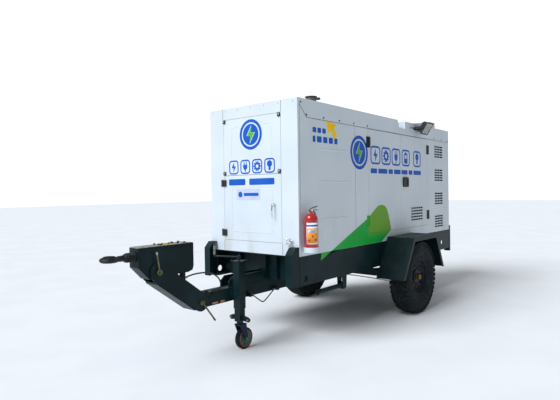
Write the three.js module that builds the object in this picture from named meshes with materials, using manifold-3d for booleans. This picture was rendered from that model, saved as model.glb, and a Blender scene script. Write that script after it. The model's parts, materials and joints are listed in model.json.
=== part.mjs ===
// A towable diesel generator: a sheet-steel canopy with its generating set inside, on a skid base
// with one axle, a height-adjustable drawbar with an overrun coupling head, and a jack with a caster.
//
// Axes: +Z up, the trailer travels along -Y, +X is its left-hand side. Inside this file every length
// along Y is counted from the canopy's front face; the last lines move the whole trailer so that its
// origin is on the ground at the middle of its length and width.

import * as THREE from "three";
import { mergeVertices } from "three/addons/utils/BufferGeometryUtils.js";
import Module from "manifold-3d";

// ---------------------------------------------------------------------------------------------
// Driving dimensions, millimetres

const GAP = 0.3;             // between pieces that touch
const SLIP = 3;              // around doors and lift-off panels

const CANOPY_HALF_WIDTH = 592;
const CANOPY_LENGTH = 3724;
const DECK_Z = 869;
const ROOF_Z = 2349;
const WALL = 30;             // a lined wall or door
const SKIRT_Z = 2175;        // lower edge of the roof's skirt

const TRAILER_FRONT = -1650; // tip of the tow eye
const TRAILER_REAR = 3770;   // back of the rear corner posts

const BEAM_BOTTOM_Z = 590;
const BEAM_SHEET = 10;
const FLANGE = 88;
const TIE_Z = 770;           // underside of the cross ties under the deck
const FRONT_BEAM_Y = 165;    // front face of the front cross member

const FRONT_OPENING = { x: 391, z: [983, 2232] };
const FRONT_SEAM_Z = 1651;   // where the front door meets the lift-off panel
const SIDE_OPENING = { y: [1298, 2943], z: [985, 2172] };
const SIDE_SEAM_Y = 2120;    // where the two side doors meet
const HINGE_OFFSET = 12;     // hinge pins stand this far outside the sheet

const WHEEL = { x: 812, y: 1968, radius: 432.5, halfWidth: 114, rim: 215 };
const WHEEL_SIDES = 28;      // facets of the tyre and of the disc wheel in it
const AXLE = 80;
const SPRING_HALF = 500;     // from the axle to a spring hanger

const ARM_PIVOT = { y: -740, z: 515 };
const HEAD_PIVOT = { y: -1183, z: 840 };
const TUBE_HALF_WIDTH = 60;
const TUBE_Z = [460, 585];
const HEAD = { y: [-1365, -810], z: [800, 1050], halfWidth: 60 };
const EYE_Z = 980;

const JACK = { x: 125, y: -320, outer: 80, inner: 70, wall: 4, top: 838, bottom: 390 };
const CASTER = { trail: 50, radius: 100, halfWidth: 24 };

const STABILISER = { x: 542, y: 800, z: 478, length: 440 };
const BOTTLE = { x: 672, y: 85, z: 925, radius: 65, height: 345 };
const LAMP = { x: 706, y: 2620, z: 2292, tilt: 33 };
const EXHAUST = { x: 300, y: 620, radius: 55, top: 2466 };
const FAN_Y = 2660;
const CRANKSHAFT_Z = 1300;

// ---------------------------------------------------------------------------------------------
// Finishes

const finish = (color, roughness, metalness = 0) =>
  new THREE.MeshStandardMaterial({ color, roughness, metalness });

const WHITE_PAINT = () => finish(0xe8eef2, 0.35);
const CHASSIS_PAINT = () => finish(0x15211f, 0.4);
const BLACK_PLASTIC = () => finish(0x151719, 0.5);
const TYRE_RUBBER = () => finish(0x1d2021, 0.85);
const ZINC = () => finish(0x9a9c8c, 0.4, 1);
const CHROME = () => finish(0xd8dcdf, 0.15, 1);
const RED_PAINT = () => finish(0xb3121a, 0.3);
const BLUE_PAINT = () => finish(0x17345f, 0.45);
const GREEN_PAINT = () => finish(0x2c5a43, 0.5);
const ENGINE_PAINT = () => finish(0x2f5f3a, 0.5);
const CAST_GREY = () => finish(0x6d7173, 0.6, 0.4);
const ALUMINIUM = () => finish(0xb4b8bb, 0.45, 1);
const LENS_RED = () => finish(0xa01818, 0.25);
const PALE_SHEET = () => finish(0xc9c8bd, 0.5, 0.2);

// ---------------------------------------------------------------------------------------------
// Solids: three.js shapes, joined and cut by manifold-3d

const wasm = await Module();
wasm.setup();

function solidOf(geometry) {
  const bare = geometry.clone();
  bare.deleteAttribute("normal");
  bare.deleteAttribute("uv");
  const merged = mergeVertices(bare, 1e-3);
  const index = merged.index.array;
  const triangles = [];
  for (let i = 0; i < index.length; i += 3) {
    const [a, b, c] = index.slice(i, i + 3);
    if (a !== b && b !== c && c !== a) triangles.push(a, b, c);
  }
  const mesh = new wasm.Mesh({
    numProp: 3,
    vertProperties: new Float32Array(merged.attributes.position.array),
    triVerts: new Uint32Array(triangles),
  });
  return new wasm.Manifold(mesh);
}

function geometryOf(solid) {
  const mesh = solid.getMesh();
  const geometry = new THREE.BufferGeometry();
  geometry.setAttribute("position", new THREE.BufferAttribute(mesh.vertProperties, 3));
  geometry.setIndex(new THREE.BufferAttribute(mesh.triVerts, 1));
  geometry.computeVertexNormals();
  return geometry;
}

const join = (first, ...others) => others.reduce((whole, solid) => whole.add(solid), first);
const cut = (first, ...others) => others.reduce((whole, solid) => whole.subtract(solid), first);

// How a shape drawn in its own plane, then extruded, stands in space for each extrusion axis.
const X = new THREE.Vector3(1, 0, 0);
const Y = new THREE.Vector3(0, 1, 0);
const Z = new THREE.Vector3(0, 0, 1);
const PLANES = {
  x: new THREE.Matrix4().makeBasis(Y, Z, X),
  y: new THREE.Matrix4().makeBasis(X, Z, Y.clone().negate()),
  z: new THREE.Matrix4().makeBasis(X, Y, Z),
};

function along(axis, geometry, [from, to]) {
  const start = axis === "y" ? -to : from;
  geometry.translate(0, 0, start);
  geometry.applyMatrix4(PLANES[axis]);
  return solidOf(geometry);
}

function block([x0, x1], [y0, y1], [z0, z1]) {
  const box = new THREE.BoxGeometry(x1 - x0, y1 - y0, z1 - z0);
  box.translate((x0 + x1) / 2, (y0 + y1) / 2, (z0 + z1) / 2);
  return solidOf(box);
}

// A straight-sided outline extruded along an axis: points are (y, z), (x, z) or (x, y).
function prism(axis, span, points) {
  const shape = new THREE.Shape(points.map(([u, v]) => new THREE.Vector2(u, v)));
  const depth = span[1] - span[0];
  return along(axis, new THREE.ExtrudeGeometry(shape, { depth, bevelEnabled: false }), span);
}

// Any THREE.Shape extruded along an axis.
function extrude(axis, span, shape, curveSegments = 6) {
  const options = { depth: span[1] - span[0], bevelEnabled: false, curveSegments };
  return along(axis, new THREE.ExtrudeGeometry(shape, options), span);
}

// A round bar along an axis, centred on (u, v) in that axis' plane.
function bar(axis, span, [u, v], radius, sides = 16, endRadius = radius) {
  const height = span[1] - span[0];
  const startRadius = axis === "y" ? endRadius : radius;
  const finishRadius = axis === "y" ? radius : endRadius;
  const cylinder = new THREE.CylinderGeometry(finishRadius, startRadius, height, sides);
  cylinder.rotateX(Math.PI / 2);
  cylinder.translate(u, v, height / 2);
  return along(axis, cylinder, span);
}

// A turned piece: profile points are (radius, distance along the axis from the origin). Its facets,
// a multiple of four, touch the true circle at their middles, so a wheel rests on a flat one.
function turned(axis, profile, [u, v], origin, sides) {
  const half = Math.PI / sides;
  const points = profile.map(([radius, height]) => new THREE.Vector2(radius / Math.cos(half), height));
  const lathe = new THREE.LatheGeometry(points, sides, half);
  lathe.rotateX(Math.PI / 2);
  if (axis === "x") lathe.rotateY(Math.PI / 2);
  const centre = { x: [origin, u, v], z: [u, v, origin] }[axis];
  lathe.translate(...centre);
  return solidOf(lathe);
}

// A bent round tube through a list of points.
function tube(points, radius, steps, sides = 8) {
  const path = new THREE.CatmullRomCurve3(points.map((p) => new THREE.Vector3(...p)));
  const section = new THREE.Shape();
  for (let i = 0; i < sides; i += 1) {
    const angle = (2 * Math.PI * i) / sides;
    const place = [radius * Math.cos(angle), radius * Math.sin(angle)];
    if (i === 0) section.moveTo(...place);
    else section.lineTo(...place);
  }
  section.closePath();
  const options = { steps, bevelEnabled: false, extrudePath: path };
  return solidOf(new THREE.ExtrudeGeometry(section, options));
}

// A rounded rectangle outline, for plates and covers.
function rounded([u0, u1], [v0, v1], r) {
  const shape = new THREE.Shape();
  shape.moveTo(u0 + r, v0);
  shape.lineTo(u1 - r, v0);
  shape.absarc(u1 - r, v0 + r, r, -Math.PI / 2, 0);
  shape.lineTo(u1, v1 - r);
  shape.absarc(u1 - r, v1 - r, r, 0, Math.PI / 2);
  shape.lineTo(u0 + r, v1);
  shape.absarc(u0 + r, v1 - r, r, Math.PI / 2, Math.PI);
  shape.lineTo(u0, v0 + r);
  shape.absarc(u0 + r, v0 + r, r, Math.PI, 1.5 * Math.PI);
  return shape;
}

// A straight link with round ends between two points of its plane.
function link(axis, span, [u0, v0], [u1, v1], r, curveSegments = 8) {
  const heading = Math.atan2(v1 - v0, u1 - u0);
  const shape = new THREE.Shape();
  shape.absarc(u1, v1, r, heading - Math.PI / 2, heading + Math.PI / 2);
  shape.absarc(u0, v0, r, heading + Math.PI / 2, heading + 1.5 * Math.PI);
  shape.closePath();
  return extrude(axis, span, shape, curveSegments);
}

// The open outline moved inwards by a distance: each corner goes to where its two moved edges meet.
function inset(points, distance) {
  const edges = points.slice(1).map(([u, v], i) => {
    const [du, dv] = [u - points[i][0], v - points[i][1]];
    const length = Math.hypot(du, dv);
    const shift = [(dv / length) * distance, (-du / length) * distance];
    return { at: [points[i][0] + shift[0], points[i][1] + shift[1]], way: [du, dv] };
  });
  const corners = edges.slice(1).map((edge, i) => {
    const before = edges[i];
    const cross = before.way[0] * edge.way[1] - before.way[1] * edge.way[0];
    const gap = [edge.at[0] - before.at[0], edge.at[1] - before.at[1]];
    const t = (gap[0] * edge.way[1] - gap[1] * edge.way[0]) / cross;
    return [before.at[0] + before.way[0] * t, before.at[1] + before.way[1] * t];
  });
  const last = edges[edges.length - 1];
  const end = [last.at[0] + last.way[0], last.at[1] + last.way[1]];
  return [edges[0].at, ...corners, end];
}

// ---------------------------------------------------------------------------------------------
// The assembly

const trailer = new THREE.Group();

function add(name, solid, material) {
  const mesh = new THREE.Mesh(geometryOf(solid), material);
  mesh.name = name;
  trailer.add(mesh);
}

// A piece and its mirror image on the other side of the trailer.
function addPair(name, solid, makeMaterial) {
  add(`${name}_left`, solid, makeMaterial());
  const geometry = geometryOf(solid);
  geometry.scale(-1, 1, 1);
  const index = geometry.index.array;
  for (let i = 0; i < index.length; i += 3) {
    [index[i], index[i + 1]] = [index[i + 1], index[i]];
  }
  geometry.computeVertexNormals();
  const mesh = new THREE.Mesh(geometry, makeMaterial());
  mesh.name = `${name}_right`;
  trailer.add(mesh);
}

const bothSides = (make) => join(make(1), make(-1));
const span = (side, from, to) => (side > 0 ? [from, to] : [-to, -from]);

// ---- Skid base: two C-section side beams under a deck sheet, cross members, four corner posts
// with sloped tops, lashing holes in the beam webs and the hangers of the two prop stands.
{
  const top = DECK_Z - GAP;
  const outer = CANOPY_HALF_WIDTH;
  const crossDepth = 100;
  const holeRadius = 32;
  const holes = [[102, 650], [CANOPY_LENGTH - 284, 698]];
  const postWidth = 78;
  const postBottom = 600;
  const postReach = 110;
  const post = [[-postReach, postBottom], [-postReach, 895], [-52, 958], [-GAP, 958],
    [-GAP, postBottom]];
  const postHollow = [[-postReach + BEAM_SHEET, postBottom - 10], [-postReach + BEAM_SHEET, 891],
    [-48, 948], [10, 948], [10, postBottom - 10]];
  const rearPost = [[CANOPY_LENGTH + GAP, 545], [CANOPY_LENGTH + GAP, 930],
    [TRAILER_REAR - 8, 930], [TRAILER_REAR, 920], [TRAILER_REAR, 545]];
  const base = bothSides((side) => {
    const x = (from, to) => span(side, from, to);
    const web = block(x(outer - BEAM_SHEET, outer), [-60, CANOPY_LENGTH + 20], [BEAM_BOTTOM_Z, top]);
    const lower = block(x(outer - FLANGE, outer), [0, CANOPY_LENGTH], [BEAM_BOTTOM_Z, BEAM_BOTTOM_Z + 12]);
    const front = cut(
      prism("x", x(outer - postWidth, outer + 2), post),
      prism("x", x(outer - postWidth - 10, outer - BEAM_SHEET), postHollow));
    const rear = prism("x", x(outer - postWidth, outer + 2), rearPost);
    const hanger = (from) => prism("x", x(from, from + 7),
      [[STABILISER.y - 34, STABILISER.z - 24], [STABILISER.y + 34, STABILISER.z - 24],
        [STABILISER.y + 44, BEAM_BOTTOM_Z + 4], [STABILISER.y - 44, BEAM_BOTTOM_Z + 4]]);
    const punched = holes.map(([y, z]) => bar("x", x(outer - 30, outer + 10), [y, z], holeRadius, 20));
    const hangers = [hanger(STABILISER.x - 34), hanger(STABILISER.x + 27)];
    return cut(join(web, lower, front, rear, ...hangers), ...punched);
  });
  const across = [-(outer - 5), outer - 5];
  const deck = block(across, [0, CANOPY_LENGTH], [top - 8, top]);
  const frontBeam = block(across, [FRONT_BEAM_Y, FRONT_BEAM_Y + crossDepth], [594, top]);
  const rearBeam = block(across, [CANOPY_LENGTH - crossDepth, CANOPY_LENGTH], [742, top]);
  const tieMiddles = [WHEEL.y - SPRING_HALF, WHEEL.y, WHEEL.y + SPRING_HALF, 2960];
  const ties = tieMiddles.map((y) => block(across, [y - 36, y + 36], [TIE_Z, top]));
  const ribReach = [FRONT_BEAM_Y - 48, FRONT_BEAM_Y + 1];
  const ribs = [-300, 60, 205, 350].map((x) => block([x, x + 8], ribReach, [604, top]));
  add("skid_base", join(base, deck, frontBeam, rearBeam, ...ties, ...ribs), CHASSIS_PAINT());
}

// ---- Fuel tank: a moulded tank hung under the deck between the side beams, with a drain sump.
{
  const body = extrude("x", [-430, 430], rounded([420, 1270], [625, 850], 30), 3);
  const sump = block([-60, 60], [700, 820], [612, 640]);
  add("fuel_tank", join(body, sump), BLACK_PLASTIC());
}

// ---- Drawbar: a box tube under the base with a round nose at the arm's pivot, the gussets that
// tie it to the front cross member, the jack's bracket and the clamps of the brake cable.
{
  const width = [-TUBE_HALF_WIDTH, TUBE_HALF_WIDTH];
  const rearEnd = 1100;
  const beamFace = FRONT_BEAM_Y - GAP;
  const box = block(width, [ARM_PIVOT.y, rearEnd], TUBE_Z);
  const nose = bar("x", width, [ARM_PIVOT.y, ARM_PIVOT.z + 2], 62, 20);
  const gusset = (x) => prism("x", [x, x + 12],
    [[-392, 580], [-392, 640], [-340, 684], [beamFace, 684], [beamFace, 580]]);
  const pads = [300, 1000].map((y) => block([-55, 55], [y, y + 80], [580, 605]));
  const jackPlate = block([48, 84.7], [-352, -288], [470, 684]);
  const clamps = [-158, 246].map((y) => block([59, 112], [y, y + 34], [464, 505]));
  add("drawbar_tube", join(box, nose, gusset(-60), gusset(48), ...pads, jackPlate, ...clamps),
    CHASSIS_PAINT());
}

// ---- Drawbar arm: two round-ended side plates outside the tube and the head, tied by a web along
// their lower edge and by a spacer between the pivots.
{
  const lower = [ARM_PIVOT.y, ARM_PIVOT.z];
  const upper = [HEAD_PIVOT.y, HEAD_PIVOT.z];
  const length = Math.hypot(lower[0] - upper[0], lower[1] - upper[1]);
  const way = [(lower[0] - upper[0]) / length, (lower[1] - upper[1]) / length];
  const down = [way[1], -way[0]];
  const at = (s, d) => [upper[0] + way[0] * s + down[0] * d, upper[1] + way[1] * s + down[1] * d];
  const plates = bothSides((side) => link("x", span(side, 62, 74), lower, upper, 80, 10));
  const web = prism("x", [-80, 80], [at(30, 80), at(length - 20, 80), at(length - 30, 92), at(42, 92)]);
  const reach = bothSides((side) => prism("x", span(side, 62, 74),
    [at(0, 60), at(length - 10, 60), at(length - 22, 84), at(0, 84)]));
  const hoseClip = block([62, 78], [-690, -641], [560, 607]);
  add("drawbar_arm", join(plates, web, reach, hoseClip), CHASSIS_PAINT());
}

// ---- Coupling head: an open-topped steel box with a bevelled nose, a bored front plate for the
// tow eye's shaft and a foot for the brake hose; a pale sheet cover lies on top.
{
  const [front, back] = HEAD.y;
  const [bottom, top] = HEAD.z;
  const sheet = 8;
  const outline = [[front, 895], [front + 103, bottom - 11], [front + 145, bottom - 11],
    [front + 165, bottom], [back - 60, bottom], [back - 12, bottom + 14], [back, bottom + 50],
    [back, top], [front, top]];
  const inside = block([-HEAD.halfWidth + sheet, HEAD.halfWidth - sheet],
    [front + 14, back - sheet], [925, top + 10]);
  const bore = bar("y", [front - 10, front + 30], [0, EYE_Z], 42, 20);
  const foot = block([-18, 18], [-905, -868], [722, bottom + 5]);
  const shell = prism("x", [-HEAD.halfWidth, HEAD.halfWidth], outline);
  add("head_box", join(cut(shell, inside, bore), foot), CHASSIS_PAINT());

  const plate = extrude("z", [top + GAP, top + GAP + 6],
    rounded([-HEAD.halfWidth - 3, HEAD.halfWidth + 3], [front, back - 40], 8), 3);
  const studs = [-1260, -1205, -1130, -1080].map((y) => bar("z", [top + 3, top + 22], [0, y], 8, 6));
  add("head_cover", join(plate, ...studs), PALE_SHEET());
}

// ---- Tow eye: a forged ring with a bushed hole on a round shaft that slides into the head behind
// a folded rubber boot.
{
  const outer = 74;
  const ringY = TRAILER_FRONT + outer;
  const ring = turned("z", [[38, -19], [60, -19], [outer, -8], [outer, 8], [60, 19], [38, 19], [38, -19]],
    [0, ringY], EYE_Z, 24);
  const bush = turned("z", [[37, -22], [46, -22], [46, 26], [37, 26], [37, -22]], [0, ringY], EYE_Z, 24);
  const neck = bar("y", [ringY + outer - 14, HEAD.y[0] - 4], [0, EYE_Z], 24, 16);
  const boot = bar("y", [HEAD.y[0] - 85, HEAD.y[0] - 2], [0, EYE_Z], 39, 16);
  const shaft = bar("y", [HEAD.y[0] - 6, HEAD.y[1] - 320], [0, EYE_Z], 30, 16);
  add("tow_eye", join(ring, bush, neck, boot, shaft), CHASSIS_PAINT());
}

// ---- Clamp levers: a ring nut on each pivot with a bar to turn it.
function clampLever(name, pivot, tip) {
  const x = 74 + GAP;
  const length = Math.hypot(tip.y - pivot.y, tip.z - pivot.z);
  const way = [(tip.y - pivot.y) / length, (tip.z - pivot.z) / length];
  const nut = bar("x", [x, x + 22], [pivot.y, pivot.z], 24, 12);
  const from = new THREE.Vector3(x + 12, pivot.y + way[0] * 18, pivot.z + way[1] * 18);
  const to = new THREE.Vector3(x + 18, tip.y, tip.z);
  const rod = new THREE.CylinderGeometry(8, 8, from.distanceTo(to), 8);
  rod.applyQuaternion(new THREE.Quaternion().setFromUnitVectors(Y, to.clone().sub(from).normalize()));
  rod.translate(...from.clone().add(to).multiplyScalar(0.5).toArray());
  add(name, join(nut, solidOf(rod)), ZINC());
}
clampLever("clamp_lever_upper", HEAD_PIVOT, { y: -1214, z: 1008 });
clampLever("clamp_lever_lower", ARM_PIVOT, { y: -600, z: 331 });

// ---- Brake hose: from the head's foot round to the clip at the arm's lower end.
add("brake_hose", tube([[0, -867, 745], [0, -815, 752], [4, -760, 760], [12, -689, 762],
  [24, -630, 757], [38, -548, 728], [56, -502, 672], [69, -510, 614], [70, -566, 599], [70, -640, 598]],
7, 26), BLACK_PLASTIC());

// ---- Brake cables: one loop hanging between two clamps beside the drawbar, and one from the drum
// of one wheel under the axle to the other's.
add("brake_cable_front", tube([[85, -120, 482], [85, -100, 472], [85, 20, 392], [85, 52, 378],
  [85, 88, 388], [85, 222, 472], [85, 242, 482]], 6, 18), BLACK_PLASTIC());
add("brake_cable_axle", tube([[-688, 1900, 352], [-560, 1900, 352], [-300, 1900, 366], [0, 1900, 374],
  [300, 1900, 366], [560, 1900, 352], [688, 1900, 352]], 7, 14), ZINC());

// ---- Jack: a square outer tube with a cap, bolted to the drawbar; a sliding inner tube; a crank.
{
  const square = (size) => [-size / 2, size / 2];
  const at = (size, [u, v] = square(size)) => [[JACK.x + u, JACK.x + v], [JACK.y + u, JACK.y + v]];
  const column = (size, z) => block(...at(size), z);
  const bored = JACK.outer - 2 * JACK.wall;
  const spindleHole = bar("z", [JACK.top - 20, JACK.top + 1], [JACK.x, JACK.y], 14, 12);
  const tubeWall = cut(column(JACK.outer, [JACK.bottom, JACK.top]),
    column(bored, [JACK.bottom - 1, JACK.top - 12]));
  const cap = column(JACK.outer + 26, [JACK.top - 10, JACK.top]);
  const plateFace = JACK.x - JACK.outer / 2 - 0.1;
  const band = cut(column(JACK.outer + 10, [500, 530]), column(JACK.outer - 4, [490, 540]),
    block([JACK.x - JACK.outer, plateFace], [-400, -200], [480, 540]));
  add("jack_outer", join(cut(join(tubeWall, cap), spindleHole), band), CHASSIS_PAINT());

  const innerTop = 640;
  const foot = 268;
  const legBore = bar("z", [foot + 30, innerTop + 1], [JACK.x, JACK.y], 24, 12);
  const leg = cut(column(JACK.inner, [foot, innerTop]), legBore);
  const earOutline = [[30, 284], [112, 272], [130, 286], [128, 306], [104, 318], [62, 326], [30, 326]];
  const ear = (side) => prism("y", [JACK.y - 7, JACK.y + 7],
    earOutline.map(([reach, z]) => [JACK.x + side * reach, z]));
  add("jack_inner", join(leg, ear(-1), ear(1)), CHASSIS_PAINT());

  const spindleTop = 888;
  const armLength = 258;
  const heading = THREE.MathUtils.degToRad(198);
  const grip = [JACK.x + armLength * Math.cos(heading), JACK.y + armLength * Math.sin(heading)];
  const spindle = bar("z", [JACK.top - 90, spindleTop], [JACK.x, JACK.y], 12, 10);
  const arm = link("z", [spindleTop - 22, spindleTop - 10], [JACK.x, JACK.y], grip, 11, 3);
  const handle = bar("z", [spindleTop - 14, 966], grip, 12, 10);
  add("jack_crank", join(spindle, arm, handle), ZINC());

  const wheelY = JACK.y + CASTER.trail;
  const forkHalf = 38;
  const sheet = 6;
  const crown = block([JACK.x - forkHalf, JACK.x + forkHalf], [JACK.y - 36, JACK.y + 52], [232, 244]);
  const cheekOutline = [[JACK.y - 34, 240], [JACK.y + 50, 240], [wheelY + 20, 88], [wheelY - 18, 84]];
  const cheeks = [JACK.x - forkHalf, JACK.x + forkHalf - sheet].map((x) =>
    prism("x", [x, x + sheet], cheekOutline));
  const stem = bar("z", [240, foot - GAP], [JACK.x, JACK.y], 30, 16);
  add("caster_fork", join(crown, ...cheeks, stem), BLUE_PAINT());

  const half = CASTER.halfWidth;
  const r = CASTER.radius;
  add("caster_wheel", turned("x", [[0, -half - 6], [24, -half - 6], [24, -half + 8], [66, -half + 8],
    [74, -half], [r - 8, -half], [r, -half + 9], [r, half - 9], [r - 8, half], [74, half],
    [66, half - 8], [24, half - 8], [24, half + 6], [0, half + 6]], [wheelY, r], JACK.x, 24), GREEN_PAINT());
}

// ---- Axle: a square beam with a brake drum at each end and a clip for the cable.
{
  const beam = block([-700, 700], [WHEEL.y - AXLE / 2, WHEEL.y + AXLE / 2],
    [WHEEL.radius - AXLE / 2, WHEEL.radius + AXLE / 2]);
  const drums = bothSides((side) => bar("x", span(side, 690, 764), [WHEEL.y, WHEEL.radius], 150, 24));
  add("axle_beam", join(beam, drums), CHASSIS_PAINT());

  const seat = WHEEL.radius + AXLE / 2 + GAP;
  const sag = (u, drop) => drop - 66 * (1 - (u / SPRING_HALF) ** 2);
  const leaf = (half, top, thick) => {
    const steps = 8;
    const edge = (z) => Array.from({ length: steps + 1 }, (_, i) => {
      const u = -half + (2 * half * i) / steps;
      return [WHEEL.y + u, sag(u, z)];
    });
    return prism("x", [420, 480], [...edge(top), ...edge(top - thick).reverse()]);
  };
  const stack = [SPRING_HALF, 390, 270, 160].map((half, i) => leaf(half, 578 - 9 * i, 10));
  const hangers = [-1, 1].map((end) => {
    const y = WHEEL.y + end * SPRING_HALF;
    const top = TIE_Z - GAP;
    return prism("x", [412, 488], [[y - 26, 550], [y + 26, 550], [y + 36, top], [y - 36, top]]);
  });
  const saddle = block([414, 486], [WHEEL.y - 60, WHEEL.y + 60], [seat, 500]);
  addPair("leaf_spring", join(...stack, ...hangers, saddle), CHASSIS_PAINT);
}

// ---- Mudguards: a bent sheet over each wheel with a turned-down lip along its outer edge.
{
  const inner = CANOPY_HALF_WIDTH + 2 + GAP;
  const outer = 935;
  const lip = 46;
  const sheet = 5;
  const outline = [[1448, 461], [1740, 917], [2410, 917], [2630, 478]];
  const hollow = (depth) => {
    const line = inset(outline, depth);
    const [first, last] = [line[0], line[line.length - 1]];
    return [...line, [last[0], last[1] - 80], [first[0], first[1] - 80]];
  };
  const guard = cut(prism("x", [inner, outer], outline),
    prism("x", [inner - 10, outer - sheet], hollow(sheet)),
    prism("x", [outer - 20, outer + 10], hollow(lip)));
  addPair("mudguard", guard, CHASSIS_PAINT);
}

// ---- Road wheels: a tyre with a grooved tread on a dished disc wheel with its hub.
{
  const { x, y, radius: r, halfWidth: w, rim } = WHEEL;
  const shoulder = r - 24;
  const profile = [[rim + 1, -88], [rim + 26, -94], [r - 110, -w], [shoulder, -w + 16],
    [r, -w + 46], [r, w - 46], [shoulder, w - 16], [r - 110, w], [rim + 26, 94], [rim + 1, 88],
    [rim + 1, -88]];
  addPair("tyre", turned("x", profile, [y, r], x, WHEEL_SIDES), TYRE_RUBBER);

  const disc = [[0, 96], [40, 96], [46, 50], [84, 46], [88, 24], [150, 20], [196, 56], [202, 84],
    [rim, 88], [rim, -88], [203, -84], [192, 26], [150, 4], [60, -30], [0, -30]].reverse();
  addPair("wheel", turned("x", disc, [y, r], x, WHEEL_SIDES), CHASSIS_PAINT);
}

// ---- Prop stands: a tube with a foot plate, folded up forwards under each side beam.
{
  const { x, y, z, length } = STABILISER;
  const boss = bar("x", [x - 25, x + 25], [y, z], 40, 18);
  const leg = bar("y", [y - length, y], [x, z], 24, 14);
  const foot = bar("y", [y - length - 10, y - length], [x, z], 28, 18);
  addPair("prop_stand", join(boss, leg, foot), CHASSIS_PAINT);
}

// ---- Canopy walls. The front wall is open for the door and the lift-off panel, the side walls
// for two doors each, with pressed louvres into the compartment behind the radiator.
{
  const w = CANOPY_HALF_WIDTH;
  const [openLow, openHigh] = FRONT_OPENING.z;
  const front = cut(block([-w, w], [0, WALL], [DECK_Z, ROOF_Z]),
    block([-FRONT_OPENING.x, FRONT_OPENING.x], [-1, WALL + 1], [openLow, openHigh]));
  const hingeLeaf = (z) => block([-FRONT_OPENING.x - 38, -FRONT_OPENING.x - 10], [-6, 1], [z - 36, z + 36]);
  add("canopy_front", join(front, hingeLeaf(1058), hingeLeaf(1573)), WHITE_PAINT());

  const sideOutline = [[WALL + GAP, DECK_Z], [CANOPY_LENGTH - WALL - GAP, DECK_Z],
    [CANOPY_LENGTH - WALL - GAP, SKIRT_Z - GAP], [141, SKIRT_Z - GAP], [WALL + GAP, 2291]];
  const opening = block([w - WALL - 1, w + 1], SIDE_OPENING.y, SIDE_OPENING.z);
  const slots = [];
  for (const z of [935, 1263, 1598, 1933]) slots.push(...louvreSlots([3195, 3480], z, 5, 36));
  const leaf = (y, z) => block([w - 1, w + 6], y, [z - 62, z + 62]);
  const frontLeaf = [SIDE_OPENING.y[0] - 40, SIDE_OPENING.y[0] - 6];
  const rearLeaf = [SIDE_OPENING.y[1] + 6, SIDE_OPENING.y[1] + 40];
  const leaves = [leaf(frontLeaf, 2020), leaf(frontLeaf, 1130), leaf(rearLeaf, 2024), leaf(rearLeaf, 1129)];
  const wall = cut(prism("x", [w - WALL, w], sideOutline), opening, ...slots);
  addPair("canopy_side", join(wall, ...leaves), WHITE_PAINT);

  const rear = block([-w, w], [CANOPY_LENGTH - WALL, CANOPY_LENGTH], [DECK_Z, SKIRT_Z - GAP]);
  const through = [CANOPY_LENGTH - WALL - 1, CANOPY_LENGTH + 1];
  const vents = [];
  for (const x of [-330, 20]) {
    for (let i = 0; i < 9; i += 1) {
      const low = 1180 + 70 * i;
      vents.push(block([x, x + 310], through, [low, low + 30]));
    }
  }
  add("canopy_rear", cut(rear, ...vents), WHITE_PAINT());
}

// A column of louvre slots through a side wall, sloping down towards the outside.
function louvreSlots([y0, y1], z, count, pitch) {
  const w = CANOPY_HALF_WIDTH;
  return Array.from({ length: count }, (_, i) => {
    const low = z + pitch * i;
    const outside = w + 1;
    const inside = w - WALL - 1;
    return prism("y", [y0, y1],
      [[outside, low], [outside, low + 20], [inside, low + 34], [inside, low + 14]]);
  });
}

// ---- Roof: a pan with a skirt down each side, a hole for the exhaust, an air outlet under the
// hood and a lifting pocket with its lug on each edge.
{
  const w = CANOPY_HALF_WIDTH;
  const skin = 20;
  const skirt = [[WALL + GAP, ROOF_Z], [WALL + GAP, 2295], [143, SKIRT_Z], [CANOPY_LENGTH, SKIRT_Z],
    [CANOPY_LENGTH, ROOF_Z]];
  const inside = block([-w + WALL, w - WALL], [-10, CANOPY_LENGTH - WALL], [SKIRT_Z - 10, ROOF_Z - skin]);
  const pocketY = [2050, 2250];
  const pockets = (grow) => bothSides((side) => block(span(side, 478 - grow, w + 8 - grow),
    [pocketY[0] - grow, pocketY[1] + grow], [2256 - grow, ROOF_Z + 5 - grow * 2]));
  const lugs = bothSides((side) => cut(block(span(side, 520, 532), [2105, 2195], [2250, 2336]),
    bar("x", span(side, 510, 540), [2150, 2302], 17, 12)));
  const outlet = block([-380, 380], [3040, 3640], [ROOF_Z - 60, ROOF_Z + 10]);
  const chimney = bar("z", [ROOF_Z - 60, ROOF_Z + 10], [EXHAUST.x, EXHAUST.y], EXHAUST.radius + 10, 20);
  const pan = cut(prism("x", [-w, w], skirt), inside);
  add("canopy_roof", join(cut(join(pan, pockets(12)), pockets(0), outlet, chimney), lugs), WHITE_PAINT());

  const hood = [[2560, ROOF_Z + GAP], [2560, ROOF_Z + 12], [3500, 2490], [3690, 2490], [3690, ROOF_Z + GAP]];
  const hollow = [[3010, ROOF_Z - 5], [3010, 2400], [3500, 2472], [3700, 2472], [3700, ROOF_Z - 5]];
  const bars = [0, 1, 2].map((i) => block([-395, 395], [3660, 3668], [2375 + 32 * i, 2383 + 32 * i]));
  add("roof_hood", join(cut(prism("x", [-400, 400], hood), prism("x", [-388, 388], hollow)), ...bars),
    WHITE_PAINT());
}

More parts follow.
